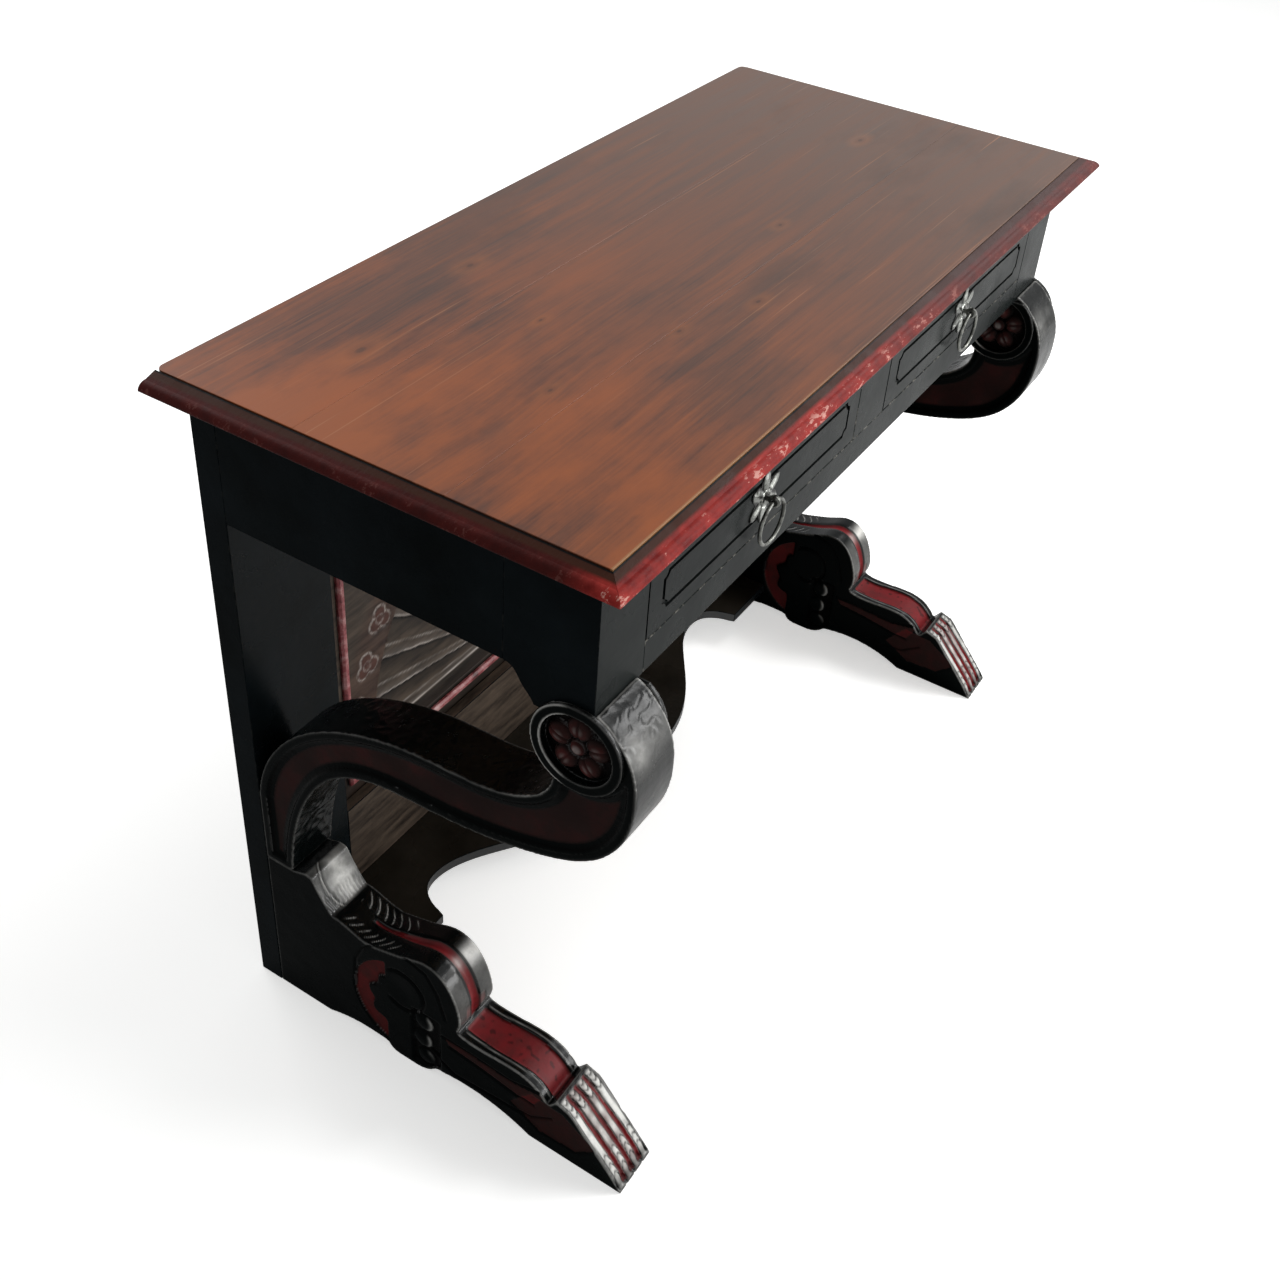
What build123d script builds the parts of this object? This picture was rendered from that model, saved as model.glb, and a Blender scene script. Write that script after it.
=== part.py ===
from build123d import *
import os
from math import cos, radians, sin

os.makedirs("parts", exist_ok=True)

# An altar table: a planked top on a two-drawer case, carried in front by two S-shaped scroll legs
# and at the back by a framed, carved panel, all standing on a pair of long carved feet.
# Millimetres, +Z up, +X to the right, the front faces -Y. The origin is on the floor, under the
# middle of the overall box. Depths are measured forwards from the back plane of the frame.

# Overall sizes
height = 800
case_width = 1000
case_depth = 432
toe_reach = 500

# Top
plank_count = 3
plank_thickness = 22
end_overhang = 12
front_overhang = 15
back_overhang = 21
back_corner_radius = 8
moulding_reach = 21.5
moulding_step = 1.5
moulding_corner_radius = 10

# Case
apron_height = 146
side_rail_height = 128
side_rail_thickness = 30
post_width = 73
post_depth = 92
ear_drop = 33
ear_length = 32
front_rail_thickness = 22
top_rail_height = 36
bottom_rail_height = 34
muntin_width = 70
tenon_thickness = 10
tenon_length = 26
tenon_shoulder = 6

# Back frame and panel
frame_thickness = 30
back_post_width = 127
back_rail_bottom = 25
back_bottom_rail_top = 169
panel_thickness = 10
panel_groove = 8
panel_setback = 14
panel_margin = 19
panel_moulding_width = 10
panel_moulding_height = 6

# Scroll legs
leg_thickness = 62
leg_seat_height = 210
drum_radius = 46
drum_setback = 14
drum_drop = 38
channel_border = 9
channel_depth = 2.5
channel_gap = 4

# Carved rosettes in the volutes
rosette_proud = 5
rosette_plug_radius = 38
rosette_plug_depth = 8
rosette_recess_radius = 36
rosette_recess_depth = 9
petal_count = 5
petal_ring = 20
petal_radius = 12.5
petal_crown_radius = 7
petal_height = 7
button_radius = 9
button_crown_radius = 6
button_height = 8
plug_clearance = 0.2

# Feet and platform
foot_thickness = 58
toe_crest_back = 68
toe_crest_height = 82
reed_count = 4
reed_groove_radius = 2.5
platform_bottom = 35
platform_thickness = 14
platform_tab_width = 92
platform_tab_depth = 149
platform_bulge_depth = 208
platform_tongue_length = 6
platform_tongue_thickness = 8

# Drawers
drawer_gap = 1.5
drawer_front_thickness = 20
drawer_side_thickness = 10
drawer_bottom_thickness = 6
drawer_bottom_groove = 5
drawer_bottom_rise = 6
drawer_side_top_gap = 5
drawer_side_inset = 2.5
drawer_run_gap = 0.3
drawer_guide_gap = 1
drawer_back_space = 42
runner_thickness = 16
runner_bearing = 22
guide_height = 20
kicker_gap = 1.5
field_inset_side = 21
field_inset_edge = 16
field_notch_radius = 7
field_groove_width = 4
field_groove_depth = 2.5

# Ring pulls
plate_radius = 29
plate_petals = 6
plate_petal_width = 17
plate_thickness = 1.5
plate_centre_radius = 9
eye_radius = 6
eye_width = 6
eye_standoff = 9.5
eye_chamfer = 1.5
stem_radius = 2.5
stem_clearance = 0.1
ring_radius = 22.5
ring_wire_radius = 2
ring_hole_clearance = 0.7

# Derived places
back_y = (toe_reach + back_overhang) / 2 - back_overhang
case_half = case_width / 2
field_half = case_half + end_overhang
field_length = 2 * field_half
field_depth = back_overhang + case_depth + front_overhang
field_back = back_y + back_overhang
field_front = field_back - field_depth
plank_bottom = height - plank_thickness
apron_bottom = plank_bottom - apron_height
side_rail_bottom = plank_bottom - side_rail_height
post_inner = case_half - post_width
opening_bottom = apron_bottom + bottom_rail_height
opening_top = plank_bottom - top_rail_height
muntin_half = muntin_width / 2
opening_half = case_half - back_post_width
foot_inner = case_half - foot_thickness
drum_depth = case_depth - drum_setback
drum_height = apron_bottom - drum_drop
rail_back = case_depth - front_rail_thickness


def at(depth, z):
    """A point on the middle plane, from its depth in front of the back plane and its height."""
    return Vector(0, back_y - depth, z)


def block(x_low, x_high, depth_back, depth_front, z_low, z_high):
    """A board given by its limits: across, from back to front, and in height."""
    size = (x_high - x_low, depth_front - depth_back, z_high - z_low)
    centre = ((x_low + x_high) / 2, back_y - (depth_back + depth_front) / 2, (z_low + z_high) / 2)
    return Pos(*centre) * Box(*size)


def plan_prism(points, z_low, z_high):
    """An upright prism over an outline of (x, y) points."""
    outline = make_face(Polyline(*points, close=True))
    return Pos(0, 0, z_low) * extrude(outline, amount=z_high - z_low, dir=(0, 0, 1))


def across(face, x_low, thickness):
    """A side-view face made into a board that starts at x_low."""
    return Pos(x_low, 0, 0) * extrude(face, amount=thickness, dir=(1, 0, 0))


def rod(x, depth_back, depth_front, z, radius):
    """A round bar that runs from back to front."""
    length = depth_front - depth_back
    return Pos(x, back_y - (depth_back + depth_front) / 2, z) * Rot(90, 0, 0) * Cylinder(radius, length)


def side_disc(x_low, x_high, radius):
    """A round disc about the volute's centre, between two distances across."""
    centre = at(drum_depth, drum_height)
    middle = ((x_low + x_high) / 2, centre.Y, centre.Z)
    return Pos(*middle) * Rot(0, 90, 0) * Cylinder(radius, x_high - x_low)


def mirrored(solid):
    return mirror(solid, about=Plane.YZ)


def save(solid, name):
    export_step(solid, f"parts/{name}.step")


def save_pair(solid, name):
    """The piece as built on the left, and its mirror image on the right."""
    save(solid, f"{name}_left")
    save(mirrored(solid), f"{name}_right")


# ---- Top: planks and edge moulding ----

def top_planks():
    width = field_depth / plank_count
    planks = []
    for index in range(plank_count):
        y_low = field_front + index * width
        centre = (0, y_low + width / 2, (plank_bottom + height) / 2)
        planks.append(Pos(*centre) * Box(field_length, width, plank_thickness))
    back_corners = planks[-1].edges().filter_by(Axis.Z).sort_by(Axis.Y)[-2:]
    planks[-1] = fillet(back_corners, back_corner_radius)
    return planks


def moulding_outline():
    """The moulding's section, as (reach, height): a slope, an ovolo nose and a hollow under it."""
    reach = moulding_reach
    top = height - moulding_step
    slope = Line((0, top), (reach * 0.55, top - 4))
    nose = ThreePointArc(slope @ 1, (reach * 0.86, top - 6), (reach, top - 10))
    lip = Line(nose @ 1, (reach, top - 12))
    hollow = ThreePointArc(lip @ 1, (reach * 0.68, top - 14.5), (reach * 0.5, plank_bottom))
    under = Line(hollow @ 1, (0, plank_bottom))
    return make_face([slope, nose, lip, hollow, under, Line(under @ 1, slope @ 0)])


def moulding_pieces():
    far = moulding_reach + 5
    corner_x, corner_y = field_half, field_front
    front_run = Plane((-field_half - far, corner_y, 0), x_dir=(0, -1, 0), z_dir=(-1, 0, 0))
    front = extrude(front_run * moulding_outline(), amount=field_length + 2 * far, dir=(1, 0, 0))
    end_run = Plane((-field_half, corner_y - far, 0), x_dir=(-1, 0, 0), z_dir=(0, 1, 0))
    end = extrude(end_run * moulding_outline(), amount=field_depth + far, dir=(0, 1, 0))
    front_plan = [(-corner_x, corner_y), (corner_x, corner_y),
                  (corner_x + far, corner_y - far), (-corner_x - far, corner_y - far)]
    end_plan = [(-corner_x, corner_y), (-corner_x, field_back),
                (-corner_x - far, field_back), (-corner_x - far, corner_y - far)]
    outline = Pos(0, field_back - moulding_reach - field_depth / 2) * RectangleRounded(
        field_length + 2 * moulding_reach, field_depth + 4 * moulding_reach, moulding_corner_radius)
    outline = Pos(0, moulding_reach) * outline
    rounded = Pos(0, 0, plank_bottom) * extrude(outline, amount=plank_thickness)
    front = front & plan_prism(front_plan, plank_bottom, height) & rounded
    end = end & plan_prism(end_plan, plank_bottom, height) & rounded
    return front, end


# ---- Scroll legs ----

def leg_face():
    """Side view of a leg: it rises from the foot against the back post, runs forwards and wraps
    round the volute's drum under the case. The lower points are set from the seat on the foot and
    the upper ones from the drum, so that the S follows either when a size changes."""
    seat, front = leg_seat_height, frame_thickness

    def low(along, up):
        return at(front + along, seat + up)

    def high(along, up):
        return at(drum_depth + along, drum_height + up)

    neck_angle = radians(236)
    neck = high(drum_radius * cos(neck_angle), drum_radius * sin(neck_angle))
    post_corner = at(case_depth, apron_bottom)
    inner = Spline(low(0, 98), low(23, 164), low(71, 220), low(137, 257), low(215, 275),
                   high(-58, -91), high(-29, -64), neck)
    outer = Spline(post_corner, high(37, 27), high(54, 0), high(59, -36), high(48, -88), high(18, -127),
                   high(-32, -152), low(219, 209), low(160, 204), low(110, 181), low(77, 142),
                   low(53, 88), low(37, 0))
    centre = high(0, 0)
    edges = [inner, Line(neck, centre), Line(centre, post_corner), outer,
             Line(low(37, 0), low(0, 0)), Line(low(0, 0), low(0, 98))]
    return make_face(edges)


def drum_face(radius):
    plane = Plane(at(drum_depth, drum_height), x_dir=(0, 1, 0), z_dir=(1, 0, 0))
    return plane * Circle(radius)


def leg_channel(x_low):
    """A sunk band that follows the S on one side of the leg, clear of its edges and of the volute."""
    band = offset(leg_face(), amount=-channel_border) - drum_face(drum_radius + channel_gap)
    outline = band.faces().sort_by(SortBy.AREA)[-1].edges()
    curves = [Spline(*[edge @ (step / 10) for step in range(11)]) if edge.geom_type == GeomType.OFFSET else edge
              for edge in outline]
    return across(make_face(curves), x_low, channel_depth)


def scroll_leg():
    outer_side, inner_side = -case_half, -case_half + leg_thickness
    leg = across(leg_face() + drum_face(drum_radius), outer_side, leg_thickness)
    leg = leg - leg_channel(outer_side) - leg_channel(inner_side - channel_depth)
    leg = leg - block(-case_half - 1, 0, 0, case_depth, apron_bottom, height)
    pocket_radius = rosette_plug_radius + plug_clearance
    leg = leg - side_disc(outer_side - 1, outer_side + rosette_plug_depth, pocket_radius)
    leg = leg - side_disc(inner_side - rosette_plug_depth, inner_side + 1, pocket_radius)
    return leg - post_tenon() + leg_tenon()


def leg_tenon():
    """A stub tenon between the leg and the foot under it."""
    middle = -case_half + leg_thickness / 2
    half = tenon_thickness
    return block(middle - half, middle + half, frame_thickness + tenon_shoulder, frame_thickness + 30,
                 leg_seat_height - tenon_length, leg_seat_height + tenon_length)


# ---- Carved rosettes ----

def rosette(face_x, outward):
    """A rimmed boss with a carved flower, seated in a pocket of the leg; outward is -1 or +1."""
    rim = side_disc(*sorted((face_x, face_x + outward * rosette_proud)), drum_radius)
    plug = side_disc(*sorted((face_x, face_x - outward * rosette_plug_depth)), rosette_plug_radius)
    floor_x = face_x + outward * (rosette_proud - rosette_recess_depth)
    recess_end = face_x + outward * (rosette_proud + 1)
    recess = side_disc(*sorted((floor_x, recess_end)), rosette_recess_radius)
    centre = at(drum_depth, drum_height)
    outwards = Rot(0, 90 * outward, 0)
    flower = Pos(floor_x + outward * button_height / 2, centre.Y, centre.Z) * outwards * Cone(
        button_radius, button_crown_radius, button_height)
    for index in range(petal_count):
        turn = radians(90 + 360 * index / petal_count)
        place = (floor_x + outward * petal_height / 2,
                 centre.Y + petal_ring * cos(turn), centre.Z + petal_ring * sin(turn))
        flower = flower + Pos(*place) * outwards * Cone(petal_radius, petal_crown_radius, petal_height)
    return (rim + plug - recess) + flower


# ---- Case ----

def post_tenon():
    """The stub tenon under a front post, which locks it to the scroll leg."""
    middle = -case_half + leg_thickness / 2
    half = tenon_thickness
    return block(middle - half, middle + half, case_depth - 30, case_depth - tenon_shoulder - 4,
                 apron_bottom - 20, apron_bottom + 1)


def front_post():
    """Corner post whose underside drops in a curved ear behind the volute."""
    back = case_depth - post_depth
    tip = side_rail_bottom - ear_drop
    ear = Spline(at(back, side_rail_bottom), at(back + 0.6 * ear_length, side_rail_bottom - 0.5 * ear_drop),
                 at(back + ear_length, tip), tangents=[(0, -1, 0), (0, -0.4, -1)])
    seat = at(drum_depth, apron_bottom)
    edges = [ear, Line(ear @ 1, at(drum_depth, tip)), Line(at(drum_depth, tip), seat),
             Line(seat, at(case_depth, apron_bottom)),
             Line(at(case_depth, apron_bottom), at(case_depth, plank_bottom)),
             Line(at(case_depth, plank_bottom), at(back, plank_bottom)),
             Line(at(back, plank_bottom), at(back, side_rail_bottom))]
    post = across(make_face(edges), -case_half, post_width)
    scroll = across(leg_face() + drum_face(drum_radius), -case_half - 1, post_width + 2)
    post = post - (scroll - block(-case_half - 2, 0, 0, case_depth, apron_bottom, height))
    return post + post_tenon()


def rail_tenon(x_shoulder, direction, depth_back, depth_front, z_low, z_high):
    """A tenon that leaves a rail's shoulder at x_shoulder, towards -1 or +1."""
    x_low, x_high = sorted((x_shoulder, x_shoulder + direction * tenon_length))
    middle = (depth_back + depth_front) / 2
    half = tenon_thickness / 2
    return block(x_low, x_high, middle - half, middle + half, z_low + tenon_shoulder, z_high - tenon_shoulder)


def tenoned_rail(half_length, depth_back, depth_front, z_low, z_high):
    """A rail between two posts, and its tenons on their own for cutting the mortises."""
    rail = block(-half_length, half_length, depth_back, depth_front, z_low, z_high)
    tenons = [rail_tenon(side * half_length, side, depth_back, depth_front, z_low, z_high) for side in (-1, 1)]
    return rail + tenons[0] + tenons[1], tenons[0]


# ---- Feet ----

def toe_crest():
    return at(toe_reach - toe_crest_back, toe_crest_height)


def toe_tip():
    return at(toe_reach - 3, 6)


def foot_face():
    """Side view of a foot: the block under the leg, a leaf-shaped facet, the scroll knee, the long
    instep and the toe, on an underside that rises in shallow waves between the places it rests on."""
    knee = [at(118, 172), at(142, 167), at(163, 161), at(190, 166), at(218, 175), at(245, 184), at(262, 180),
            at(278, 164), at(288, 140), at(291, 121), at(286, 102)]
    block_top = Polyline(at(frame_thickness, leg_seat_height), at(frame_thickness + 37, leg_seat_height),
                         at(84, 216), at(93, 214))
    facet = Spline(block_top @ 1, at(101, 198), at(118, 172))
    scroll = Spline(*knee)
    instep_start, instep_end = 286, toe_reach - 96
    run = instep_end - instep_start
    instep = Spline(scroll @ 1, at(instep_start + 0.29 * run, 98), at(instep_start + 0.69 * run, 99),
                    at(instep_end, 74))
    toe_front = Polyline(instep @ 1, at(instep_end + 10, 88), toe_crest(), toe_tip(), at(toe_reach, 0),
                         at(instep_end - 22, 0))
    waist = ThreePointArc(toe_front @ 1, at((256 + instep_end - 22) / 2, 18), at(256, 13))
    pad_front = ThreePointArc(waist @ 1, at(245, 4), at(232, 0))
    pad = Line(pad_front @ 1, at(204, 0))
    pad_back = ThreePointArc(pad @ 1, at(195, 3.4), at(190, 10))
    hollow = ThreePointArc(pad_back @ 1, at(150, 11), at(105, 0))
    heel = Polyline(hollow @ 1, at(frame_thickness, 0), block_top @ 0)
    edges = [block_top, facet, scroll, instep, toe_front, waist, pad_front, pad, pad_back, hollow, heel]
    return make_face(edges)


def toe_grooves():
    """Round grooves down the slope of the toe, which leave a row of reeds."""
    crest, tip = toe_crest(), toe_tip()
    slope = tip - crest
    centre = (crest + tip) / 2
    pitch = foot_thickness / reed_count
    grooves = []
    for index in range(1, reed_count):
        x = -case_half + index * pitch
        line = Plane((x, centre.Y, centre.Z), x_dir=(1, 0, 0), z_dir=slope)
        grooves.append(line * Cylinder(reed_groove_radius, slope.length + 40))
    return grooves


def foot():
    return across(foot_face(), -case_half, foot_thickness) - toe_grooves() - platform_tongue() - leg_tenon()


def platform_tongue():
    """The tongue on the left end of the platform, which is housed in the foot."""
    middle = platform_bottom + platform_thickness / 2
    half = platform_tongue_thickness / 2
    return block(-foot_inner - platform_tongue_length, -foot_inner, frame_thickness,
                 platform_tab_depth - platform_tongue_length, middle - half, middle + half)


def platform():
    """A low board between the feet, its front edge cut in a symmetric serpentine."""
    half, notch, tab = foot_inner, foot_inner - platform_tab_width, platform_tab_depth

    def plan(x, depth):
        return Vector(x, back_y - depth, 0)

    wave = [(0.991, 140), (0.969, 120), (0.931, 106), (0.863, 101), (0.749, 112), (0.631, 137),
            (0.446, 179), (0.334, 195), (0.171, 205)]
    left = [plan(-share * notch, depth) for share, depth in wave]
    right = [plan(share * notch, depth) for share, depth in reversed(wave)]
    front = Spline(*left, plan(0, platform_bulge_depth), *right)
    rest = Polyline(front @ 1, plan(notch, tab), plan(half, tab), plan(half, frame_thickness),
                    plan(-half, frame_thickness), plan(-half, tab), plan(-notch, tab), front @ 0)
    board = extrude(make_face([front, rest]), amount=platform_thickness, dir=(0, 0, 1))
    return Pos(0, 0, platform_bottom) * board + platform_tongue() + mirrored(platform_tongue())


# ---- Back panel ----

def panel_mouldings():
    """The four mitred strips of the frame on the panel: top, bottom and left; right is mirrored."""
    half = opening_half - panel_margin
    z_low = back_bottom_rail_top + panel_margin
    z_high = side_rail_bottom - panel_margin
    face_depth = frame_thickness - panel_setback
    width, rise = panel_moulding_width, panel_moulding_height
    outer = [(-half, z_low), (half, z_low), (half, z_high), (-half, z_high)]
    inner = [(-half + width, z_low + width), (half - width, z_low + width),
             (half - width, z_high - width), (-half + width, z_high - width)]
    strips = []
    for index in range(4):
        follow = (index + 1) % 4
        corners = [outer[index], outer[follow], inner[follow], inner[index]]
        points = [Vector(x, back_y - face_depth, z) for x, z in corners]
        strip = extrude(make_face(Polyline(*points, close=True)), amount=rise, dir=(0, -1, 0))
        front_edges = strip.edges().group_by(Axis.Y)[0]
        long_edges = front_edges.filter_by(lambda edge: edge.length > 3 * width)
        strips.append(chamfer(long_edges, width * 0.28))
    return {"bottom": strips[0], "right": strips[1], "top": strips[2], "left": strips[3]}


# ---- Drawers ----

def notched_field(width, tall, radius, inset):
    """A rectangle with a quarter-round bite at each corner."""
    shape = Rectangle(width - 2 * inset, tall - 2 * inset)
    for x_side in (-1, 1):
        for z_side in (-1, 1):
            shape = shape - Pos(x_side * width / 2, z_side * tall / 2) * Circle(radius + inset)
    return shape


def drawer_pieces(x_low, x_high):
    """The boards of one drawer, whose opening runs from x_low to x_high."""
    left, right = x_low + drawer_gap, x_high - drawer_gap
    bottom, top = opening_bottom + drawer_gap, opening_top - drawer_gap
    middle_x, middle_z = (left + right) / 2, (bottom + top) / 2
    front_back = case_depth - drawer_front_thickness
    front = block(left, right, front_back, case_depth, bottom, top)
    face_plane = Plane((middle_x, back_y - case_depth, middle_z), x_dir=(1, 0, 0), z_dir=(0, -1, 0))
    wide = right - left - 2 * field_inset_side
    tall = top - bottom - 2 * field_inset_edge
    groove = notched_field(wide, tall, field_notch_radius, 0)
    groove = groove - notched_field(wide, tall, field_notch_radius, field_groove_width)
    front = front - extrude(face_plane * groove, amount=-field_groove_depth)
    front = front - rod(middle_x, 0, case_depth + 1, middle_z, stem_radius + stem_clearance)

    side_left, side_right = left + drawer_side_inset, right - drawer_side_inset
    side_low, side_high = opening_bottom + drawer_run_gap, top - drawer_side_top_gap
    back_end = frame_thickness + drawer_back_space
    thick = drawer_side_thickness
    floor_low = side_low + drawer_bottom_rise
    floor_high = floor_low + drawer_bottom_thickness
    floor = block(side_left + thick - drawer_bottom_groove, side_right - thick + drawer_bottom_groove,
                  back_end, front_back + drawer_bottom_groove, floor_low, floor_high)
    sides = [block(x, x + thick, back_end, front_back, side_low, side_high) - floor
             for x in (side_left, side_right - thick)]
    back = block(side_left + thick, side_right - thick, back_end, back_end + thick, floor_high, side_high)
    return {"front": front - floor, "side_left": sides[0], "side_right": sides[1], "back": back,
            "bottom": floor}


def pull_plate(x, z):
    """A flower of pointed petals with a round centre, flat on the drawer front."""
    half = plate_petal_width / 2
    flower = Circle(plate_centre_radius)
    for index in range(plate_petals):
        petal = make_face([ThreePointArc((0, 0), (half, plate_radius * 0.55), (0, plate_radius)),
                           ThreePointArc((0, plate_radius), (-half, plate_radius * 0.55), (0, 0))])
        flower = flower + Rot(0, 0, 360 * index / plate_petals) * petal
    plane = Plane((x, back_y - case_depth, z), x_dir=(1, 0, 0), z_dir=(0, -1, 0))
    plate = extrude(plane * flower, amount=plate_thickness)
    return plate - rod(x, case_depth - 1, case_depth + plate_thickness + 1, z, stem_radius + stem_clearance)


def pull_eye(x, z):
    """The eye that holds the ring, on a stem through the plate and the drawer front."""
    pivot_depth = case_depth + plate_thickness + eye_standoff
    centre = (x, back_y - pivot_depth, z)
    barrel = Pos(*centre) * Rot(0, 90, 0) * Cylinder(eye_radius, eye_width)
    barrel = chamfer(barrel.edges(), eye_chamfer)
    stem = rod(x, case_depth - drawer_front_thickness - 2, pivot_depth, z, stem_radius)
    collar = rod(x, case_depth + plate_thickness, case_depth + plate_thickness + 2, z, eye_radius)
    clench = rod(x, case_depth - drawer_front_thickness - 2, case_depth - drawer_front_thickness, z, eye_radius)
    hole = Pos(*centre) * Rot(0, 90, 0) * Cylinder(ring_wire_radius + ring_hole_clearance, 4 * eye_radius)
    return barrel + stem + collar + clench - hole


def pull_ring(x, z):
    """The ring hangs with its wire through the eye."""
    pivot_depth = case_depth + plate_thickness + eye_standoff
    centre = (x, back_y - pivot_depth, z - ring_radius)
    return Pos(*centre) * Rot(90, 0, 0) * Torus(ring_radius, ring_wire_radius)


# ---- Runners and kickers ----

def drawer_guides():
    """Runner with its guide for the left side and the centre, and the kickers above the drawers."""
    rail_front = rail_back
    bearing = opening_bottom
    side_inner = case_half - side_rail_thickness
    outer_guide = post_inner - drawer_gap - drawer_side_inset + drawer_guide_gap
    centre_guide = muntin_half + drawer_gap + drawer_side_inset - drawer_guide_gap
    post = block(-case_half, -post_inner, case_depth - post_depth, case_depth, 0, plank_bottom)
    outer = block(-side_inner, -post_inner + runner_bearing, frame_thickness, rail_front,
                  bearing - runner_thickness, bearing)
    outer = outer + block(-side_inner, -outer_guide, frame_thickness, case_depth - post_depth,
                          bearing, bearing + guide_height) - post
    centre = block(-muntin_half - runner_bearing, muntin_half + runner_bearing, frame_thickness, rail_front,
                   bearing - runner_thickness, bearing)
    centre = centre + block(-centre_guide, centre_guide, frame_thickness, rail_front, bearing,
                            bearing + guide_height)
    kick_low = opening_top - drawer_gap - drawer_side_top_gap + kicker_gap
    kick_outer = block(-side_inner, -post_inner + runner_bearing, frame_thickness, rail_front,
                       kick_low, plank_bottom) - post
    kick_centre = block(-muntin_half - runner_bearing, muntin_half + runner_bearing, frame_thickness,
                        rail_front, kick_low, plank_bottom)
    return outer, centre, kick_outer, kick_centre


# ---- Build and write every piece ----

for name, plank in zip(("front", "middle", "back"), top_planks()):
    save(plank, f"top_board_{name}")
moulding_front, moulding_left = moulding_pieces()
save(moulding_front, "top_moulding_front")
save_pair(moulding_left, "top_moulding")

front_top_rail, top_tenon = tenoned_rail(post_inner, rail_back, case_depth, opening_top, plank_bottom)
front_bottom_rail, bottom_tenon = tenoned_rail(post_inner, rail_back, case_depth, apron_bottom, opening_bottom)
back_top_rail, back_top_tenon = tenoned_rail(opening_half, 0, frame_thickness, side_rail_bottom, plank_bottom)
back_bottom_rail, back_low_tenon = tenoned_rail(opening_half, 0, frame_thickness, back_rail_bottom,
                                                back_bottom_rail_top)
save(front_top_rail, "front_top_rail")
save(front_bottom_rail, "front_bottom_rail")
save(block(-muntin_half, muntin_half, rail_back, case_depth, opening_bottom, opening_top), "drawer_muntin")
save_pair(front_post() - top_tenon - bottom_tenon, "front_post")
save_pair(block(-case_half, -case_half + side_rail_thickness, frame_thickness, case_depth - post_depth,
                side_rail_bottom, plank_bottom), "side_rail")

panel_front = frame_thickness - panel_setback
panel = block(-opening_half - panel_groove, opening_half + panel_groove, panel_front - panel_thickness,
              panel_front, back_bottom_rail_top - panel_groove, side_rail_bottom + panel_groove)
save(panel, "carved_panel")
save(back_top_rail - panel, "back_top_rail")
save(back_bottom_rail - panel, "back_bottom_rail")
back_post = block(-case_half, -opening_half, 0, frame_thickness, 0, plank_bottom)
save_pair(back_post - panel - back_top_tenon - back_low_tenon, "back_post")
for name, strip in panel_mouldings().items():
    save(strip, f"panel_moulding_{name}")

save_pair(scroll_leg(), "scroll_leg")
save_pair(rosette(-case_half, -1), "rosette_outer")
inner_face = -case_half + leg_thickness
under_case = block(inner_face - rosette_plug_depth, 0, 0, case_depth + 100, apron_bottom - 100, apron_bottom)
save_pair(rosette(inner_face, 1) & under_case, "rosette_inner")
save_pair(foot(), "foot")
save(platform(), "platform")

runner_side, runner_centre, kicker_side, kicker_centre = drawer_guides()
save_pair(runner_side, "drawer_runner")
save(runner_centre, "drawer_runner_centre")
save_pair(kicker_side, "drawer_kicker")
save(kicker_centre, "drawer_kicker_centre")

pull_z = (opening_bottom + opening_top) / 2
for name, x_low, x_high in (("left", -post_inner, -muntin_half), ("right", muntin_half, post_inner)):
    for piece, solid in drawer_pieces(x_low, x_high).items():
        save(solid, f"{name}_drawer_{piece}")
    pull_x = (x_low + x_high) / 2
    save(pull_plate(pull_x, pull_z), f"{name}_pull_plate")
    save(pull_eye(pull_x, pull_z), f"{name}_pull_eye")
    save(pull_ring(pull_x, pull_z), f"{name}_pull_ring")
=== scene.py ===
import math
import bpy
import numpy as np
from mathutils import Matrix, Vector, noise
from mathutils.kdtree import KDTree


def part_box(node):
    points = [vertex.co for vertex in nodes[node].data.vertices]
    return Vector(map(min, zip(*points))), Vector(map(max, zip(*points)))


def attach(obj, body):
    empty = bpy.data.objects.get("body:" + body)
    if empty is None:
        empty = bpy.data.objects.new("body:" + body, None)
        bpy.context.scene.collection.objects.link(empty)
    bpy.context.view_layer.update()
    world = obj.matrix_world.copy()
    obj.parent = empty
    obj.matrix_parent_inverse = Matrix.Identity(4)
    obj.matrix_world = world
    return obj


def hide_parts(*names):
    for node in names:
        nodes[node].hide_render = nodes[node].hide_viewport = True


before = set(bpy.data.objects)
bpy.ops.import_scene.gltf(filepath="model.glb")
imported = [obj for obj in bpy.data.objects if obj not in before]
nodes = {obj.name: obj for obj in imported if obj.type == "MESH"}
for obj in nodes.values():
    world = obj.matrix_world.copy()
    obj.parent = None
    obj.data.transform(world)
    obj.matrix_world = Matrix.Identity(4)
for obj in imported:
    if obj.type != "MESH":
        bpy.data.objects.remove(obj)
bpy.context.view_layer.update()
print("frame loaded:", len(nodes), "nodes")

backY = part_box("back_post_left")[1].y              # back plane of the table: depths run forwards from it
boardLow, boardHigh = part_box("top_board_front")    # its front edge and ends are those of the whole top
topHigh = boardHigh.z


# the camera stands at the left front corner and looks down on the table
cameraSetup = {
    "place": (-1.262, -0.6575, 1.468),
    "azimuth": -60.264, "elevation": 36.544, "roll": 4.549,
    "lens": 42.41, "sensor": 36, "shiftY": -0.0703, "clipEnd": 50,
}


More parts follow.
